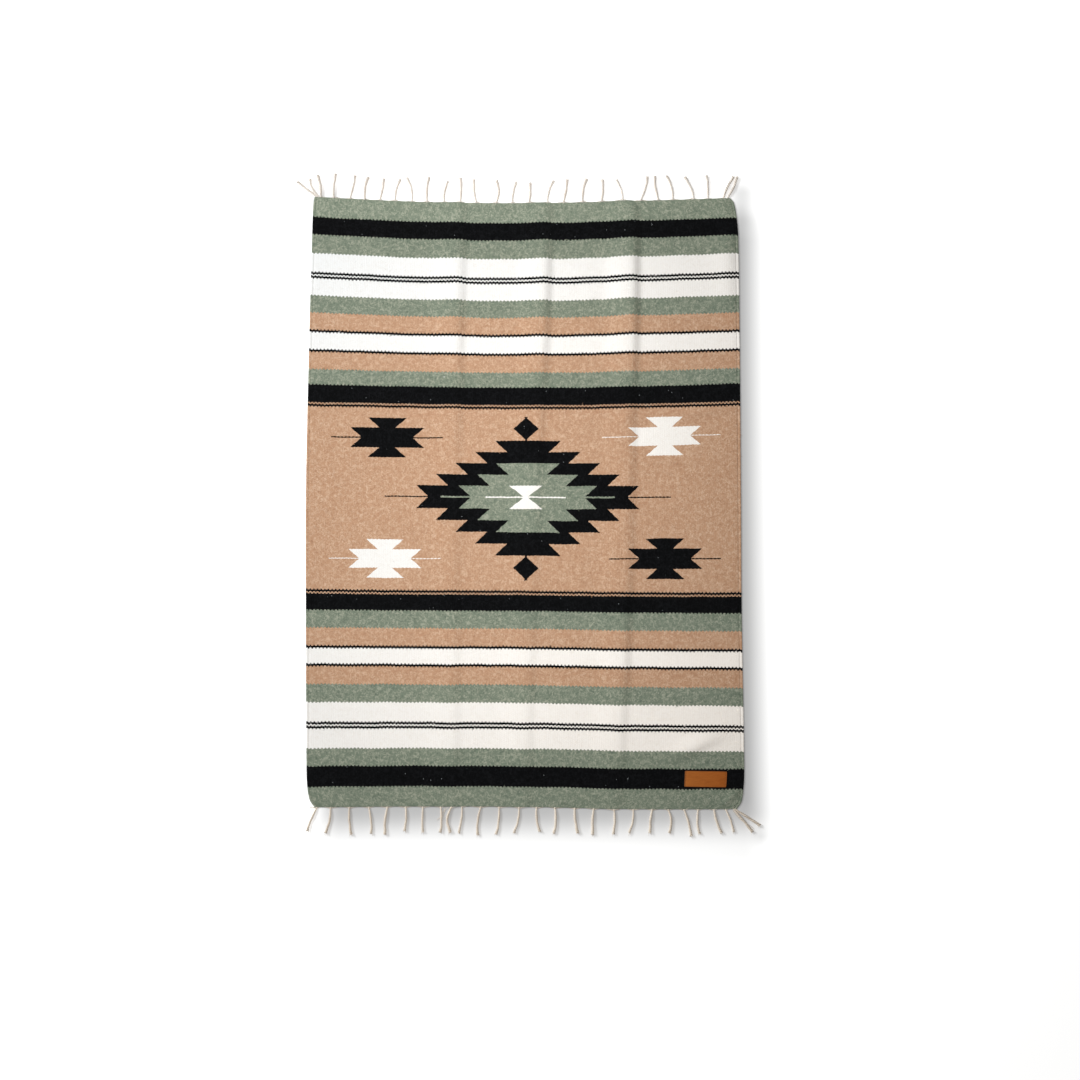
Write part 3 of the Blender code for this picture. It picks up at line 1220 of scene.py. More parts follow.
@dataclass(frozen=True)
class TwistedYarn:
    """A cord of plies twisted round each line of a guide."""

    pitch: float
    plies: int
    step: float
    sides: int
    opening: float
    seed: int

    def tree(self, name: str, material: bpy.types.Material) -> GeometryGraph:
        """Build the tree of nodes.

        Args:
            name: The tree's name.
            material: The yarn's finish.

        Returns:
            The tree.
        """
        values = {
            "Pitch": self.pitch * MM,
            "Plies": self.plies,
            "Step": self.step * MM,
            "Sides": self.sides,
            "Opening": self.opening,
            "Seed": self.seed,
            "Material": material,
        }
        graph = GeometryGraph(name, values)
        line = graph.step("MeshToCurve", Mesh=graph.given("Geometry"))
        line = graph.step("ResampleCurve", {"mode": "LENGTH"}, Curve=line, Length=graph.given("Step"))
        repeats = {"Geometry": line, "Amount": graph.given("Plies")}
        copied = graph.node("GeometryNodeDuplicateElements", {"domain": "SPLINE"}, repeats)
        index = graph.out(copied, "Duplicate Index")
        spline = graph.node("GeometryNodeSplineParameter")
        share = graph.out(spline, "Factor")
        phase = graph.named("phase")
        radius = graph.named("radius")
        wobble = graph.chance(0.9, 1.1, graph.given("Seed"))
        turns = graph.out(spline, "Length") / graph.given("Pitch")
        angle = (turns + index / graph.given("Plies") + phase) * TURN
        tip = ((share - 0.8) * 5.0).clamp()
        reach = radius * wobble * (tip * tip * graph.given("Opening") + 0.536)
        tangent = graph.out(graph.node("GeometryNodeInputTangent"))
        side = graph.directions("NORMALIZE", graph.directions("CROSS_PRODUCT", tangent, (0.0, 0.0, 1.0)))
        up = graph.directions("CROSS_PRODUCT", side, tangent)
        move = graph.directions(
            "ADD",
            graph.directions("SCALE", side, angle.cos() * reach),
            graph.directions("SCALE", up, angle.sin() * reach),
        )
        marked = graph.step(
            "StoreNamedAttribute",
            {"data_type": "FLOAT_VECTOR", "domain": "POINT"},
            Geometry=graph.out(copied, "Geometry"),
            Name="yarn",
            Value=graph.vector(graph.out(spline, "Length"), share, phase),
        )
        twisted = graph.step("SetPosition", Geometry=marked, Offset=move)
        ring = graph.step("CurvePrimitiveCircle", Resolution=graph.given("Sides"), Radius=1.0)
        thick = radius * (0.5 - tip * 0.09)
        tube = graph.step("CurveToMesh", Curve=twisted, Profile_Curve=ring, Scale=thick, Fill_Caps=True)
        graph.end(tube)
        return graph


@dataclass(frozen=True)
class BeadsAlong:
    """Small rounded beads set along each line of a guide, such as weft turns or stitches."""

    spacing: float
    long: float
    wide: float
    high: float
    slant: float
    seed: int
    segments: int = 8
    rings: int = 5

    def tree(self, name: str, material: bpy.types.Material) -> GeometryGraph:
        """Build the tree of nodes.

        Args:
            name: The tree's name.
            material: The beads' finish.

        Returns:
            The tree.
        """
        values = {
            "Spacing": self.spacing * MM,
            "Long": self.long * MM / 2,
            "Wide": self.wide * MM / 2,
            "High": self.high * MM / 2,
            "Slant": math.radians(self.slant),
            "Segments": self.segments,
            "Rings": self.rings,
            "Seed": self.seed,
            "Material": material,
        }
        graph = GeometryGraph(name, values)
        line = graph.step("MeshToCurve", Mesh=graph.given("Geometry"))
        spaced = {"Curve": line, "Length": graph.given("Spacing")}
        points = graph.node("GeometryNodeCurveToPoints", {"mode": "LENGTH"}, spaced)
        segments, rings = graph.given("Segments"), graph.given("Rings")
        ball = graph.step("MeshUVSphere", Segments=segments, Rings=rings, Radius=1.0)
        size = graph.vector(graph.given("Wide"), graph.given("Long"), graph.given("High"))
        bead = graph.step("Transform", Geometry=ball, Scale=size)
        along = graph.out(points, "Tangent")
        facing = graph.node("FunctionNodeAlignRotationToVector", {"axis": "Y"}, {"Vector": along})
        wobble = graph.chance(-0.12, 0.12, graph.given("Seed"))
        lean = graph.vector(wobble, wobble * 0.7, graph.given("Slant") + wobble)
        growth = graph.chance(0.92, 1.08, graph.given("Seed") + 1)
        set_down = graph.step(
            "InstanceOnPoints",
            Points=graph.out(points, "Points"),
            Instance=bead,
            Rotation=graph.turned(graph.out(facing), lean),
            Scale=graph.vector(growth, growth, growth),
        )
        graph.end(set_down)
        return graph


@dataclass(frozen=True)
class CurledFibres:
    """Fine curled fibres scattered over the upper face of a cloth."""

    density: float = 5700.0
    thickness: float = 0.25
    upright: float = 0.96
    seed: int = 7
    shapes: tuple[tuple[float, float, float], ...] = ((7.0, 3.2, 0.5), (9.0, -2.2, 0.75), (5.0, 2.6, 1.0))

    def tree(self, name: str, material: bpy.types.Material) -> GeometryGraph:
        """Build the tree of nodes.

        Args:
            name: The tree's name.
            material: The fibres' finish.

        Returns:
            The tree.
        """
        values = {
            "Density": self.density,
            "Thickness": self.thickness * MM,
            "Upright": self.upright,
            "Seed": self.seed,
            "Material": material,
        }
        graph = GeometryGraph(name, values)
        normal = graph.out(graph.node("GeometryNodeInputNormal"))
        parts = graph.node("ShaderNodeSeparateXYZ", None, {"Vector": normal})
        sown = {
            "Mesh": graph.given("Geometry"),
            "Selection": graph.out(parts, "Z") > graph.given("Upright"),
            "Density": graph.given("Density"),
            "Seed": graph.given("Seed"),
        }
        method = {"distribute_method": "RANDOM"}
        scattered = graph.node("GeometryNodeDistributePointsOnFaces", method, sown)
        ring = graph.step("CurvePrimitiveCircle", Resolution=3, Radius=graph.given("Thickness"))
        variants = graph.node("GeometryNodeGeometryToInstance")
        for length, bend, lift in self.shapes:
            arc = graph.step(
                "CurveQuadraticBezier",
                Resolution=4,
                Start=(-length / 2 * MM, 0.0, -0.1 * MM),
                Middle=(0.0, bend * MM, lift * MM),
                End=(length / 2 * MM, bend * 0.3 * MM, -0.05 * MM),
            )
            fibre = graph.step("CurveToMesh", Curve=arc, Profile_Curve=ring, Fill_Caps=False)
            graph.tree.links.new(fibre.socket, variants.inputs[0])
        spin = graph.chance(0.0, TURN, graph.given("Seed") + 3)
        growth = graph.chance(0.55, 1.2, graph.given("Seed") + 5)
        fibres = graph.step(
            "InstanceOnPoints",
            Points=graph.out(scattered, "Points"),
            Instance=graph.out(variants),
            Pick_Instance=True,
            Rotation=graph.turned(graph.out(scattered, "Rotation"), graph.vector(0.0, 0.0, spin)),
            Scale=graph.vector(growth, growth, growth),
        )
        graph.end(fibres)
        return graph


def add_piece(
    name: str, mesh: bpy.types.Mesh, material: bpy.types.Material | None = None
) -> bpy.types.Object:
    """Put a mesh into the scene as a piece.

    Args:
        name: The piece's name.
        mesh: Its mesh.
        material: Its finish, if the mesh has none yet.

    Returns:
        The piece.
    """
    piece = bpy.data.objects.new(name, mesh)
    if material is not None:
        mesh.materials.append(material)
    bpy.context.scene.collection.objects.link(piece)
    return piece


def store(mesh: bpy.types.Mesh, name: str, values: Array) -> None:
    """Give a mesh a number or a vector at each of its points.

    Args:
        mesh: The mesh.
        name: The attribute's name.
        values: One row for each point.
    """
    kind = "FLOAT" if values.ndim == 1 else "FLOAT_VECTOR"
    key = "value" if values.ndim == 1 else "vector"
    mesh.attributes.new(name, kind, "POINT").data.foreach_set(key, values.astype(float).ravel())


def guide_mesh(name: str, lines: list[Array], **marks: list[Array]) -> bpy.types.Mesh:
    """A mesh of open lines for a tree of nodes to follow.

    Args:
        name: The mesh's name.
        lines: The points of each line, in metres.
        marks: What each point carries, as one array for each line.

    Returns:
        The mesh.
    """
    points = np.concatenate(lines)
    starts = np.cumsum([0] + [len(line) for line in lines])
    edges = [(i, i + 1) for low, high in zip(starts, starts[1:]) for i in range(low, high - 1)]
    mesh = bpy.data.meshes.new(name)
    mesh.from_pydata(points.tolist(), edges, [])
    for mark, values in marks.items():
        store(mesh, mark, np.concatenate(values))
    return mesh


def closed_sheet(name: str, top: Array, bottom: Array, marks: dict[str, Array]) -> bpy.types.Mesh:
    """A closed mesh from two grids of points that share their outermost line.

    Args:
        name: The mesh's name.
        top: The upper points, by row and column, in metres.
        bottom: The lower points.
        marks: What each point of the grid carries.

    Returns:
        The mesh.
    """
    rows, columns = top.shape[:2]
    upper = np.arange(rows * columns).reshape(rows, columns)
    lower = upper.copy()
    inner = (rows - 2) * (columns - 2)
    lower[1:-1, 1:-1] = rows * columns + np.arange(inner).reshape(rows - 2, columns - 2)

    def quads(number: Array) -> Array:
        """The faces between a grid's points, seen from above."""
        corners = (number[:-1, :-1], number[:-1, 1:], number[1:, 1:], number[1:, :-1])
        return np.stack(corners, axis=-1).reshape(-1, 4)

    points = np.concatenate((top.reshape(-1, 3), bottom[1:-1, 1:-1].reshape(-1, 3)))
    faces = np.concatenate((quads(upper), quads(lower)[:, ::-1]))
    mesh = bpy.data.meshes.new(name)
    mesh.from_pydata(points.tolist(), [], faces.tolist())
    for mark, values in marks.items():
        store(mesh, mark, np.concatenate((values.reshape(-1, 3), values[1:-1, 1:-1].reshape(-1, 3))))
    mesh.shade_smooth()
    return mesh


def raised(points: Array, lift: Array | float) -> Array:
    """Points moved straight up."""
    moved = points.copy()
    moved[..., 2] += lift
    return moved


def flat_map(across: Array, along: Array) -> Array:
    """Where points lie on the flat cloth, in metres."""
    return np.stack((across, along, np.zeros(across.shape)), axis=-1) * MM


def edge_share(distance: Array, radius: float, power: float) -> Array:
    """How thick a rounded edge is at a distance in from it, as a share of the full thickness."""
    inset = np.clip(1 - distance / radius, 0, 1)
    return (1 - inset**power) ** (1 / power)


@dataclass(frozen=True)
class Placing:
    """Where the cloth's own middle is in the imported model's frame, in metres."""

    shift: Array

    def place(self, points: Array) -> Array:
        """Turn points from millimetres round the cloth's middle into metres in the frame."""
        return points * MM + self.shift


@dataclass
class Cloth:
    """The woven cloth: one closed wall with rounded selvages, its weft turns and its nap."""

    form: LaidCloth
    placing: Placing
    column_step: float = 6.0
    row_step: float = 6.3
    selvage_steps: tuple[float, ...] = (0.0, 0.1, 0.4, 1.0, 1.8, 3.4, 5.0, 6.0, 7.0, 9.0)
    end_steps: tuple[float, ...] = (0.0, 0.1, 0.4, 1.0, 1.8, 4.0)
    edge_radius: float = 1.3
    groove_depth: float = 0.4
    groove_place: float = 6.0
    turn_inset: float = 0.7
    turn_end: float = 1.2
    turn_points: int = 700
    turns: BeadsAlong = BeadsAlong(spacing=2.25, long=2.35, wide=2.9, high=2.5, slant=16.0, seed=3)
    nap: CurledFibres = CurledFibres()

    @staticmethod
    def places(half: float, steps: tuple[float, ...], step: float) -> Array:
        """Grid places from one edge to the other, close at both edges.

        Args:
            half: Half of the distance between the edges.
            steps: The distances in from an edge of the close places.
            step: How far apart the others are.

        Returns:
            The places.
        """
        inner = half - steps[-1]
        count = math.ceil(2 * inner / step)
        middle = np.linspace(-inner, inner, count + 1)[1:-1]
        ends = half - np.array(steps)
        return np.concatenate((-ends, middle, ends[::-1]))

    def build_wall(self, material: bpy.types.Material) -> bpy.types.Object:
        """Build the cloth itself.

        Args:
            material: The wool's finish.

        Returns:
            The cloth.
        """
        form = self.form
        columns = self.places(form.width / 2, self.selvage_steps, self.column_step)
        rows = self.places(form.length / 2, self.end_steps, self.row_step)
        across, along = np.meshgrid(columns, rows)
        under = form.underside(across.ravel(), along.ravel()).reshape(*across.shape, 3)
        side = form.width / 2 - np.abs(across)
        end = form.length / 2 - np.abs(along)
        full = edge_share(side, self.edge_radius, 2.0) * edge_share(end, self.edge_radius, 2.0)
        half = form.thickness / 2 * full
        groove = self.groove_depth * np.exp(-((side - self.groove_place) ** 2))
        top = self.placing.place(raised(under, form.thickness / 2 + half - groove * full))
        bottom = self.placing.place(raised(under, form.thickness / 2 - half))
        mesh = closed_sheet("serape_cloth", top, bottom, {"flat": flat_map(across, along)})
        return add_piece("serape_cloth", mesh, material)

    def build_turns(self, material: bpy.types.Material) -> bpy.types.Object:
        """Build the turns of the weft round the outermost warps, down both selvages.

        Args:
            material: The wool's finish.

        Returns:
            The turns of both selvages.
        """
        reach = self.form.length / 2 - self.turn_end
        along = np.linspace(-reach, reach, self.turn_points)
        lines = []
        flats = []
        for side in (-1, 1):
            across = np.full(len(along), side * (self.form.width / 2 - self.turn_inset))
            points = raised(self.form.underside(across, along), self.form.thickness / 2)
            lines.append(self.placing.place(points))
            flats.append(flat_map(across, along))
        guide = guide_mesh("selvage_guide", lines, flat=flats)
        return self.turns.tree("weft turns", material).grow(guide, "selvage_turns")

    def build_nap(self, cloth: bpy.types.Object, material: bpy.types.Material) -> bpy.types.Object:
        """Build the loose fibres on the upper face of the finished cloth."""
        return self.nap.tree("curled fibres", material).grow(cloth.data.copy(), "nap_fibres")


@dataclass(frozen=True)
class Strand:
    """One twisted fringe strand: its root on the ground, its tip's lean and reach, and its bow."""

    root: float
    lean: float
    reach: float
    bow: float


class End(Enum):
    """The two ends of the cloth."""

    TOP = 1
    BOTTOM = -1


def strands(*rows: tuple[float, float, float, float]) -> tuple[Strand, ...]:
    """Make strands from rows of root, lean, reach and bow."""
    return tuple(Strand(*row) for row in rows)


@dataclass
class YarnLines:
    """The middle lines of some yarns, with each yarn's radius and the phase of its twist."""

    placing: Placing
    rng: np.random.Generator
    lines: list[Array] = field(default_factory=list)
    radii: list[Array] = field(default_factory=list)
    phases: list[Array] = field(default_factory=list)

    def add(self, points: Array, radius: Array | float) -> None:
        """Add a yarn, with the phase of its twist by chance.

        Args:
            points: Its middle line.
            radius: Its radius, all along it or at each point.
        """
        self.lines.append(self.placing.place(points))
        self.radii.append(np.broadcast_to(radius, len(points)) * MM)
        self.phases.append(np.full(len(points), self.rng.random()))

    def grow(self, cord: TwistedYarn, name: str, material: bpy.types.Material) -> bpy.types.Object:
        """Twist the yarns round their lines, as one piece."""
        guide = guide_mesh(name + "_guide", self.lines, radius=self.radii, phase=self.phases)
        return cord.tree(name, material).grow(guide, name)


@dataclass
class Fringe:
    """One end's fringe: twisted strands, the warps that run into them, and stray single yarns."""

    end: End
    form: LaidCloth
    placing: Placing
    strands: tuple[Strand, ...]
    strays: tuple[Strand, ...]
    radius: float = 2.95
    uneven: tuple[float, float] = (0.86, 1.1)
    ripple: float = 0.45
    stray_ripple: float = 1.6
    low: float = 0.35
    shape: tuple[float, ...] = (0.56, 0.86, 1.0, 0.92, 1.02, 1.14)
    fray_count: int = 4
    fray_from: int = 20
    fray_reach: float = 7.0
    fray_spread: float = 4.5
    fray_low: float = 0.9
    fray_taper: tuple[float, float] = (0.8, 0.4)
    start: float = -0.8
    point_count: int = 26
    warp_spacing: float = 8.333
    warp_margin: float = 14.0
    warp_radius: float = 0.62
    warp_points: int = 12
    gather: float = 4.5
    gather_reach: float = 22.0
    seed: int = 11
    cord: TwistedYarn = TwistedYarn(pitch=15.0, plies=3, step=0.9, sides=6, opening=0.16, seed=5)
    warp_cord: TwistedYarn = TwistedYarn(pitch=3.2, plies=2, step=0.7, sides=5, opening=0.0, seed=6)

    def edge_point(self, x: float) -> Array:
        """The middle of the cloth's end edge at a place on the ground.

        Args:
            x: The distance from the middle line.

        Returns:
            The point.
        """
        along = self.end.value * self.form.length / 2
        across = self.form.across_at(x, along)
        point = self.form.underside(np.array([across]), np.array([along]))[0]
        return raised(point, self.form.thickness / 2)

    def strand_line(self, strand: Strand, radius: float, ripple: float) -> tuple[Array, Array]:
        """A strand's middle line and radii: out of the edge, then down to lie on the ground.

        Args:
            strand: The strand.
            radius: Its usual radius.
            ripple: How far it wavers.

        Returns:
            The points and the radius at each.
        """
        share = np.linspace(0, 1, self.point_count)
        edge = self.edge_point(strand.root)
        radii = radius * np.interp(share, np.linspace(0, 1, len(self.shape)), self.shape)
        wave = np.sin(share * 11 + strand.root) + 0.6 * np.sin(share * 19 + strand.root * 2)
        side = strand.lean * share**1.2 + strand.bow * np.sin(math.pi * share) + ripple * share * wave
        out = self.start + (strand.reach - self.start) * share
        drop = (1 - share) ** 3
        high = edge[2] * drop + (self.low + radii) * (1 - drop)
        high = np.maximum(high, radii * 1.2 + 0.05)
        points = np.stack((edge[0] + side, edge[1] + self.end.value * out, high), axis=1)
        return points, radii

    def warp_line(self, x: float, strand: Strand, order: float) -> Array:
        """A warp's line from the cloth's edge along to the strand that gathers it.

        Args:
            x: Where the warp leaves the cloth.
            strand: The strand that it goes into.
            order: How far out its line lies, from 0 to 1.

        Returns:
            The points.
        """
        share = np.linspace(0, 1, self.warp_points)
        leave = self.edge_point(x)
        join = self.edge_point(strand.root + strand.lean * 0.06)
        run = share**0.8
        out = -0.9 + (self.gather + 0.9) * share**3 + (0.7 + 0.6 * order) * np.sin(math.pi * share**0.7)
        middle = leave + (join - leave) * run[:, None]
        middle[:, 1] += self.end.value * out
        middle[:, 2] += 0.25 * np.sin(order * 40) - 0.2 * share
        return middle

    def frayed(self, points: Array, rng: np.random.Generator) -> Array:
        """A loose yarn end that leaves a strand near its tip.

        Args:
            points: The strand's middle line.
            rng: Where its chances come from.

        Returns:
            The points.
        """
        line = points[self.fray_from :].copy()
        share = np.linspace(0, 1, len(line))[:, None]
        sideways = rng.uniform(-1, 1) * self.fray_spread
        way = np.array((sideways, self.end.value * self.fray_reach * rng.random(), 0.0))
        line += way * share**1.6
        high = line[:, 2] + rng.uniform(-0.5, 0.6) * self.radius * share[:, 0]
        line[:, 2] = np.maximum(high, self.fray_low)
        return line

    def build(self, name: str, material: bpy.types.Material) -> bpy.types.Object:
        """Build the whole fringe as one piece.

        Args:
            name: The piece's name.
            material: The yarn's finish.

        Returns:
            The fringe.
        """
        rng = np.random.default_rng(self.seed)
        thick = YarnLines(self.placing, rng)
        ends = []
        for strand in self.strands:
            points, radii = self.strand_line(strand, self.radius * rng.uniform(*self.uneven), self.ripple)
            thick.add(points, radii)
            ends += [self.frayed(points, rng) for _ in range(self.fray_count)]

        thin = YarnLines(self.placing, rng)
        half = self.form.width / 2 - self.warp_margin
        for x in np.arange(-half, half, self.warp_spacing):
            nearest = min(self.strands, key=lambda strand: abs(strand.root - x))
            order = min(abs(nearest.root - x) / self.gather_reach, 1.0)
            thin.add(self.warp_line(x, nearest, order), self.warp_radius)
        for stray in self.strays:
            thin.add(*self.strand_line(stray, self.warp_radius, self.stray_ripple))
        for line in ends:
            thin.add(line, np.linspace(*self.fray_taper, len(line)) * self.warp_radius)
        cords = thick.grow(self.cord, name + "_cords", material)
        warps = thin.grow(self.warp_cord, name + "_warps", material)
        return join_pieces(name, [cords, warps])


def join_pieces(name: str, pieces: list[bpy.types.Object]) -> bpy.types.Object:
    """Join pieces into one.

    Args:
        name: The joined piece's name.
        pieces: The pieces, which the joined one replaces.

    Returns:
        The joined piece.
    """
    with bpy.context.temp_override(
        active_object=pieces[0], object=pieces[0], selected_editable_objects=pieces, selected_objects=pieces
    ):
        bpy.ops.object.join()
    pieces[0].name = name
    pieces[0].data.name = name
    return pieces[0]


@dataclass
class LeatherPatch:
    """The small bare leather patch, sewn down along its two short ends."""

    form: LaidCloth
    across: float = 412.0
    along: float = -631.0
    width: float = 97.0
    height: float = 37.0
    thickness: float = 1.6
    turn: float = -0.9
    steps: tuple[int, int] = (8, 2)
    lift: float = 0.12
    edge_radius: float = 0.55
    corner: float = 1.6
    crown: float = 0.25
    press_depth: float = 0.28
    press_width: float = 1.1
    edge_steps: tuple[float, ...] = (0.0, 0.03, 0.12, 0.3, 0.6, 1.2, 2.4, 3.2, 4.2)
    grid_step: float = 2.2
    stitch_inset: float = 3.2
    stitch_margin: float = 2.6
    stitch_points: int = 24
    stitch_sink: float = 0.12
    stitches: BeadsAlong = BeadsAlong(spacing=3.7, long=2.7, wide=0.75, high=0.55, slant=9.0, seed=9)

    def spread(self, run: Array, rise: Array) -> tuple[Array, Array]:
        """Turn places on the patch into places on the cloth.

        Args:
            run: The places along the patch's long side, from its middle.
            rise: The places along its short side.

        Returns:
            The places across and along.
        """
        turn = math.radians(self.turn)
        across = self.across + run * math.cos(turn) - rise * math.sin(turn)
        along = self.along + run * math.sin(turn) + rise * math.cos(turn)
        return across, along

    def solid_corner(self) -> Array:
        """The low corner of the patch's own solid, from the cloth's middle."""
        runs, rises = (np.arange(count + 1) / count - 0.5 for count in self.steps)
        run, rise = np.meshgrid(self.width * runs, self.height * rises)
        across, along = self.spread(run.ravel(), rise.ravel())
        return self.form.underside(across, along).min(axis=0)

    def build(self, placing: Placing, material: bpy.types.Material) -> bpy.types.Object:
        """Build the patch.

        Args:
            placing: Where the cloth is.
            material: The leather's finish.

        Returns:
            The patch.
        """
        runs = Cloth.places(self.width / 2, self.edge_steps, self.grid_step)
        rises = Cloth.places(self.height / 2, self.edge_steps, self.grid_step)
        run, rise = np.meshgrid(runs, rises)
        end = self.width / 2 - np.abs(run)
        side = self.height / 2 - np.abs(rise)
        full = edge_share(end, self.edge_radius, 3.0) * edge_share(side, self.edge_radius, 3.0)
        round_off = np.exp(-(end + side) / self.corner) * self.corner * 0.6
        run_in = run - np.sign(run) * round_off
        rise_in = rise - np.sign(rise) * round_off
        across, along = self.spread(run_in.ravel(), rise_in.ravel())
        under = self.form.underside(across, along).reshape(*run.shape, 3)
        under = raised(under, self.form.thickness + self.lift)
        press = self.press_depth * np.exp(-(((end - self.stitch_inset) / self.press_width) ** 2))
        crown = self.crown * (1 - (2 * run / self.width) ** 2) * (1 - (2 * rise / self.height) ** 2)
        top = raised(under, self.thickness / 2 * (1 + full) + (crown - press) * full)
        bottom = raised(under, self.thickness / 2 * (1 - full))
        rim = np.exp(-np.minimum(end, side) ** 2)
        marks = {"patch": np.stack((run * MM, rise * MM, rim), axis=-1)}
        mesh = closed_sheet("patch_piece", placing.place(top), placing.place(bottom), marks)
        return add_piece("patch_piece", mesh, material)

    def build_stitches(self, placing: Placing, material: bpy.types.Material) -> bpy.types.Object:
        """Build the two short rows of stitches.

        Args:
            placing: Where the cloth is.
            material: The thread's finish.

        Returns:
            The stitches.
        """
        reach = self.height / 2 - self.stitch_margin
        rise = np.linspace(-reach, reach, self.stitch_points)
        high = self.form.thickness + self.lift + self.thickness - self.stitch_sink
        lines = []
        for side in (-1, 1):
            run = np.full(len(rise), side * (self.width / 2 - self.stitch_inset))
            lines.append(placing.place(raised(self.form.underside(*self.spread(run, rise)), high)))
        guide = guide_mesh("stitch_guide", lines)
        return self.stitches.tree("patch stitches", material).grow(guide, "patch_stitches")


@dataclass(frozen=True)
class Lamp:
    """A soft lamp: its light, and where it hangs and what it points at, in metres."""

    name: str
    shape: str
    size: tuple[float, float]
    power: float
    colour: Colour
    place: tuple[float, float, float]
    target: tuple[float, float, float]

    def hang(self) -> None:
        """Hang the lamp so that it points at its target, unseen by the camera."""
        lamp = bpy.data.lights.new(self.name, "AREA")
        lamp.shape = self.shape
        lamp.size, lamp.size_y = self.size
        lamp.energy = self.power
        lamp.color = self.colour
        light = bpy.data.objects.new(self.name, lamp)
        light.location = self.place
        way = Vector(self.target) - Vector(self.place)
        light.rotation_euler = way.to_track_quat("-Z", "Y").to_euler()
        light.visible_camera = False
        bpy.context.scene.collection.objects.link(light)


@dataclass
class Studio:
    """The white floor, the soft light from the upper left, and the camera almost straight above."""

    placing: Placing
    floor_size: float = 9.0
    camera_place: tuple[float, float, float] = (35.6, -248.5, 2600.0)
    camera_tilt: float = 3.435
    lens: float = 37.85
    sensor: float = 36.0
    lamps: tuple[Lamp, ...] = (
        Lamp("key_light", "DISK", (1.6, 1.6), 239.0, (0.96, 0.985, 1.0), (-3.8, 1.9, 3.0), (0.0, 0.0, 0.0)),
        Lamp(
            "overhead_light",
            "RECTANGLE",
            (0.3, 1.4),
            4.15,
            (1.0, 0.98, 0.955),
            (-0.05, 0.11, 0.75),
            (-0.05, 0.11, 0.0),
        ),
    )
    sky: float = 0.224
    sky_colour: Colour = (1.0, 0.965, 0.925)

    def build_floor(self, material: bpy.types.Material) -> bpy.types.Object:
        """Lay the floor.

        Args:
            material: Its finish.

        Returns:
            The floor.
        """
        half = self.floor_size / 2
        mesh = bpy.data.meshes.new("studio_floor")
        corners = [(-half, -half, 0), (half, -half, 0), (half, half, 0), (-half, half, 0)]
        mesh.from_pydata(corners, [], [(0, 1, 2, 3)])
        return add_piece("studio_floor", mesh, material)

    def light(self) -> None:
        """Hang the key light and the overhead lamp, and light the sky evenly."""
        for lamp in self.lamps:
            lamp.hang()
        world = bpy.data.worlds.new("studio_sky")
        world.use_nodes = True
        background = world.node_tree.nodes["Background"]
        background.inputs["Color"].default_value = (*self.sky_colour, 1.0)
        background.inputs["Strength"].default_value = self.sky
        bpy.context.scene.world = world

    def set_camera(self) -> None:
        """Set up the camera at the height and tilt of the photograph."""
        lens = bpy.data.cameras.new("camera")
        lens.lens = self.lens
        lens.sensor_width = self.sensor
        camera = bpy.data.objects.new("camera", lens)
        camera.location = self.placing.place(np.array(self.camera_place))
        camera.rotation_euler = (math.radians(self.camera_tilt), 0.0, 0.0)
        bpy.context.scene.collection.objects.link(camera)
        bpy.context.scene.camera = camera
        bpy.context.scene.view_settings.view_transform = "Standard"


def report(piece: bpy.types.Object) -> None:
    """Log a finished piece with its number of triangles."""
    piece.data.calc_loop_triangles()
    heights = [vertex.co.z / MM for vertex in piece.data.vertices]
    LOG.info(
        "%s: %d triangles, from %.1f to %.1f mm high",
        piece.name,
        len(piece.data.loop_triangles),
        min(heights),
        max(heights),
    )


TOP_STRANDS = strands(
    (-485, -46, 35, -3), (-481, -20, 42, -7), (-476, -7, 51, 2), (-446, 5, 56, -2),
    (-408, 12, 54, 2), (-373, 7, 52, -3), (-338, 9, 50, 2), (-303, 12, 51, -2),
    (-263, -12, 56, 4), (-228, 4, 58, -2), (-188, 9, 49, -3), (-151, 1, 57, 2),
    (-113, -5, 55, -3), (-67, 1, 53, 6), (-29, 9, 49, -2), (10, 2, 47, 2),
    (53, 14, 51, -3), (90, 9, 54, 2), (135, 9, 54, -3), (179, 2, 51, 2),
    (228, -14, 49, 3), (270, 16, 56, 4), (312, -9, 56, -3), (345, -14, 56, 4),
    (394, -21, 51, 3), (427, -2, 54, 1), (464, 24, 51, -2), (473, 23, 50, 4),
)
BOTTOM_STRANDS = strands(
    (-468, -22, 52, -3), (-438, -10, 57, 3), (-395, 5, 61, -2), (-352, 7, 59, 3),
    (-309, -5, 61, -3), (-268, -2, 54, 2), (-229, 0, 57, -1), (-189, 0, 57, 2),
    (-164, -2, 57, -9), (-141, -7, 59, 2), (-98, -7, 63, -4), (-57, -6, 61, 2),
    (-12, -11, 57, 3), (28, 7, 54, -3), (69, -2, 57, 3), (114, 7, 55, -2),
    (157, -2, 57, -2), (203, -2, 55, 2), (246, -9, 52, 3), (289, -5, 52, -2),
    (325, 2, 52, 6), (361, 16, 59, 3), (393, 2, 54, -3), (429, 16, 52, -2),
    (455, 18, 50, 3), (473, 42, 50, 3), (476, 56, 36, 4),
)
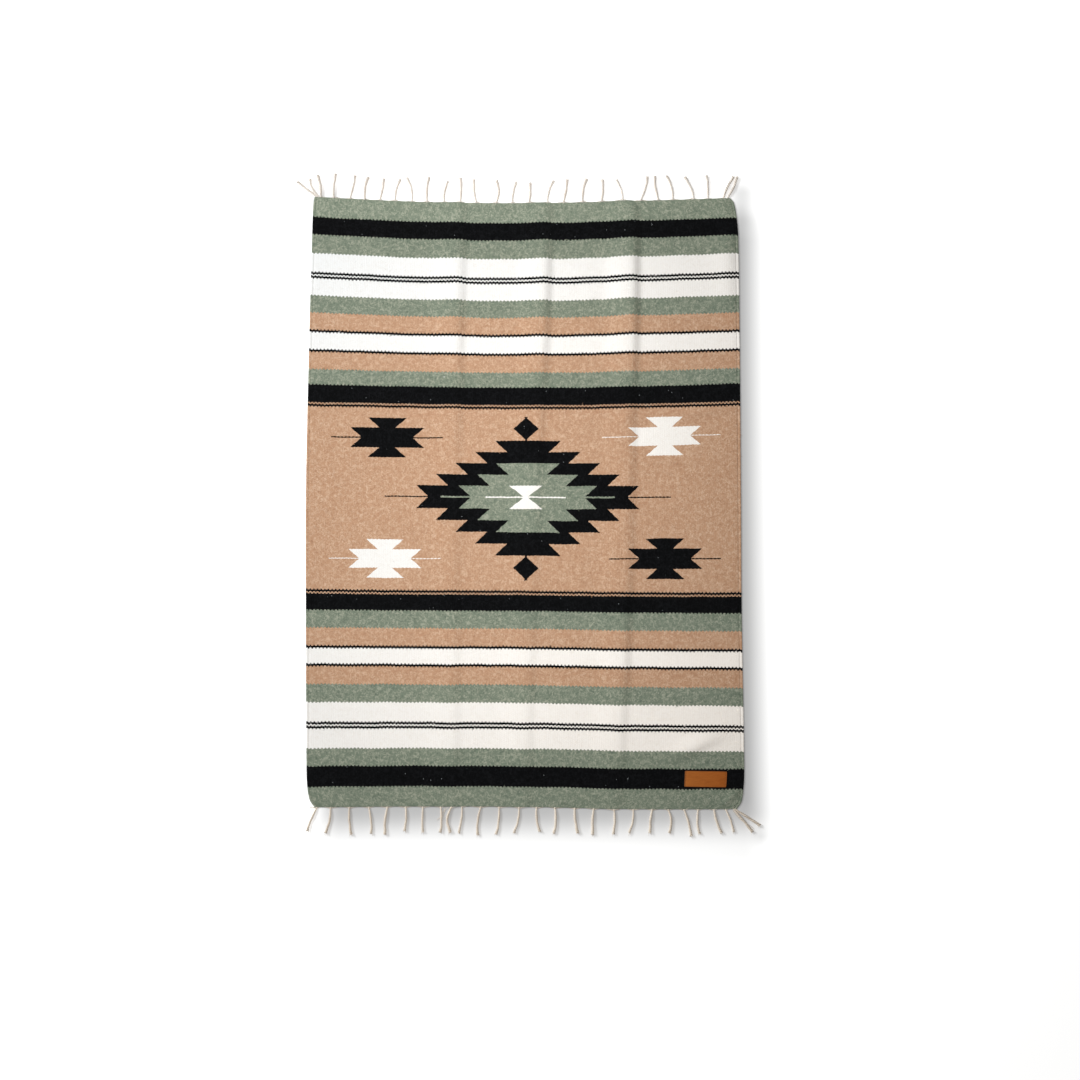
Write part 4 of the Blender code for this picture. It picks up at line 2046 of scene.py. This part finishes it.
TOP_STRAYS = strands((-382, 9, 42, 5), (-350, -12, 40, 6), (-34, 26, 36, 9))
BOTTOM_STRAYS = strands((-182, -14, 30, 7), (-170, -18, 26, -6), (470, 50, 44, -5))


def main() -> None:
    """Build the serape's pieces in order, dress them, and set up the studio."""
    logging.basicConfig(level=logging.INFO, format="%(name)s %(message)s")
    form = LaidCloth()
    patch = LeatherPatch(form)
    corner = np.array(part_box("leather_patch")[0]) / MM
    own_corner = patch.solid_corner()
    placing = Placing(np.array((corner[0] - own_corner[0], corner[1] - own_corner[1], 0.0)) * MM)
    LOG.info("cloth's middle at %.1f, %.1f mm", *(placing.shift[:2] / MM))

    wool = WovenWool()
    wool_material = wool.material("woven_wool")
    yarn_material = FringeYarn().material("fringe_yarn")
    pale_yarn = FringeYarn(light=(0.90, 0.85, 0.79), middle=(0.72, 0.65, 0.58)).material("pale_fringe_yarn")

    cloth = Cloth(form, placing)
    wall = cloth.build_wall(wool_material)
    turns = cloth.build_turns(wool_material)
    # Painted light: the nap's finish is a lighter copy of the cloth's wool, standing in for light caught by
    # the loose fibres
    nap = cloth.build_nap(wall, wool.material("wool_nap", lift=1.16))
    top = Fringe(End.TOP, form, placing, TOP_STRANDS, TOP_STRAYS, radius=3.35).build(
        "yarn_fringe_top", pale_yarn
    )
    bottom = Fringe(End.BOTTOM, form, placing, BOTTOM_STRANDS, BOTTOM_STRAYS, seed=12).build(
        "yarn_fringe_bottom", yarn_material
    )
    leather = patch.build(placing, PatchLeather().material("patch_leather"))
    stitches = patch.build_stitches(placing, StitchThread().material("stitch_thread"))

    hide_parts("cloth")
    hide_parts("fringe_top")
    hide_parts("fringe_bottom")
    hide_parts("leather_patch")
    slots = {
        "woven_wool": (wall, turns, nap),
        "fringe_yarn": (top, bottom),
        "patch_leather": (leather, stitches),
    }
    for slot, pieces in slots.items():
        for piece in pieces:
            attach(piece, "root")
            report(piece)

    studio = Studio(placing)
    paper = StudioPaper(tuple(map(float, placing.shift[:2])))
    studio.build_floor(paper.material("studio_paper"))
    studio.light()
    studio.set_camera()


if __name__ == "__main__":
    main()
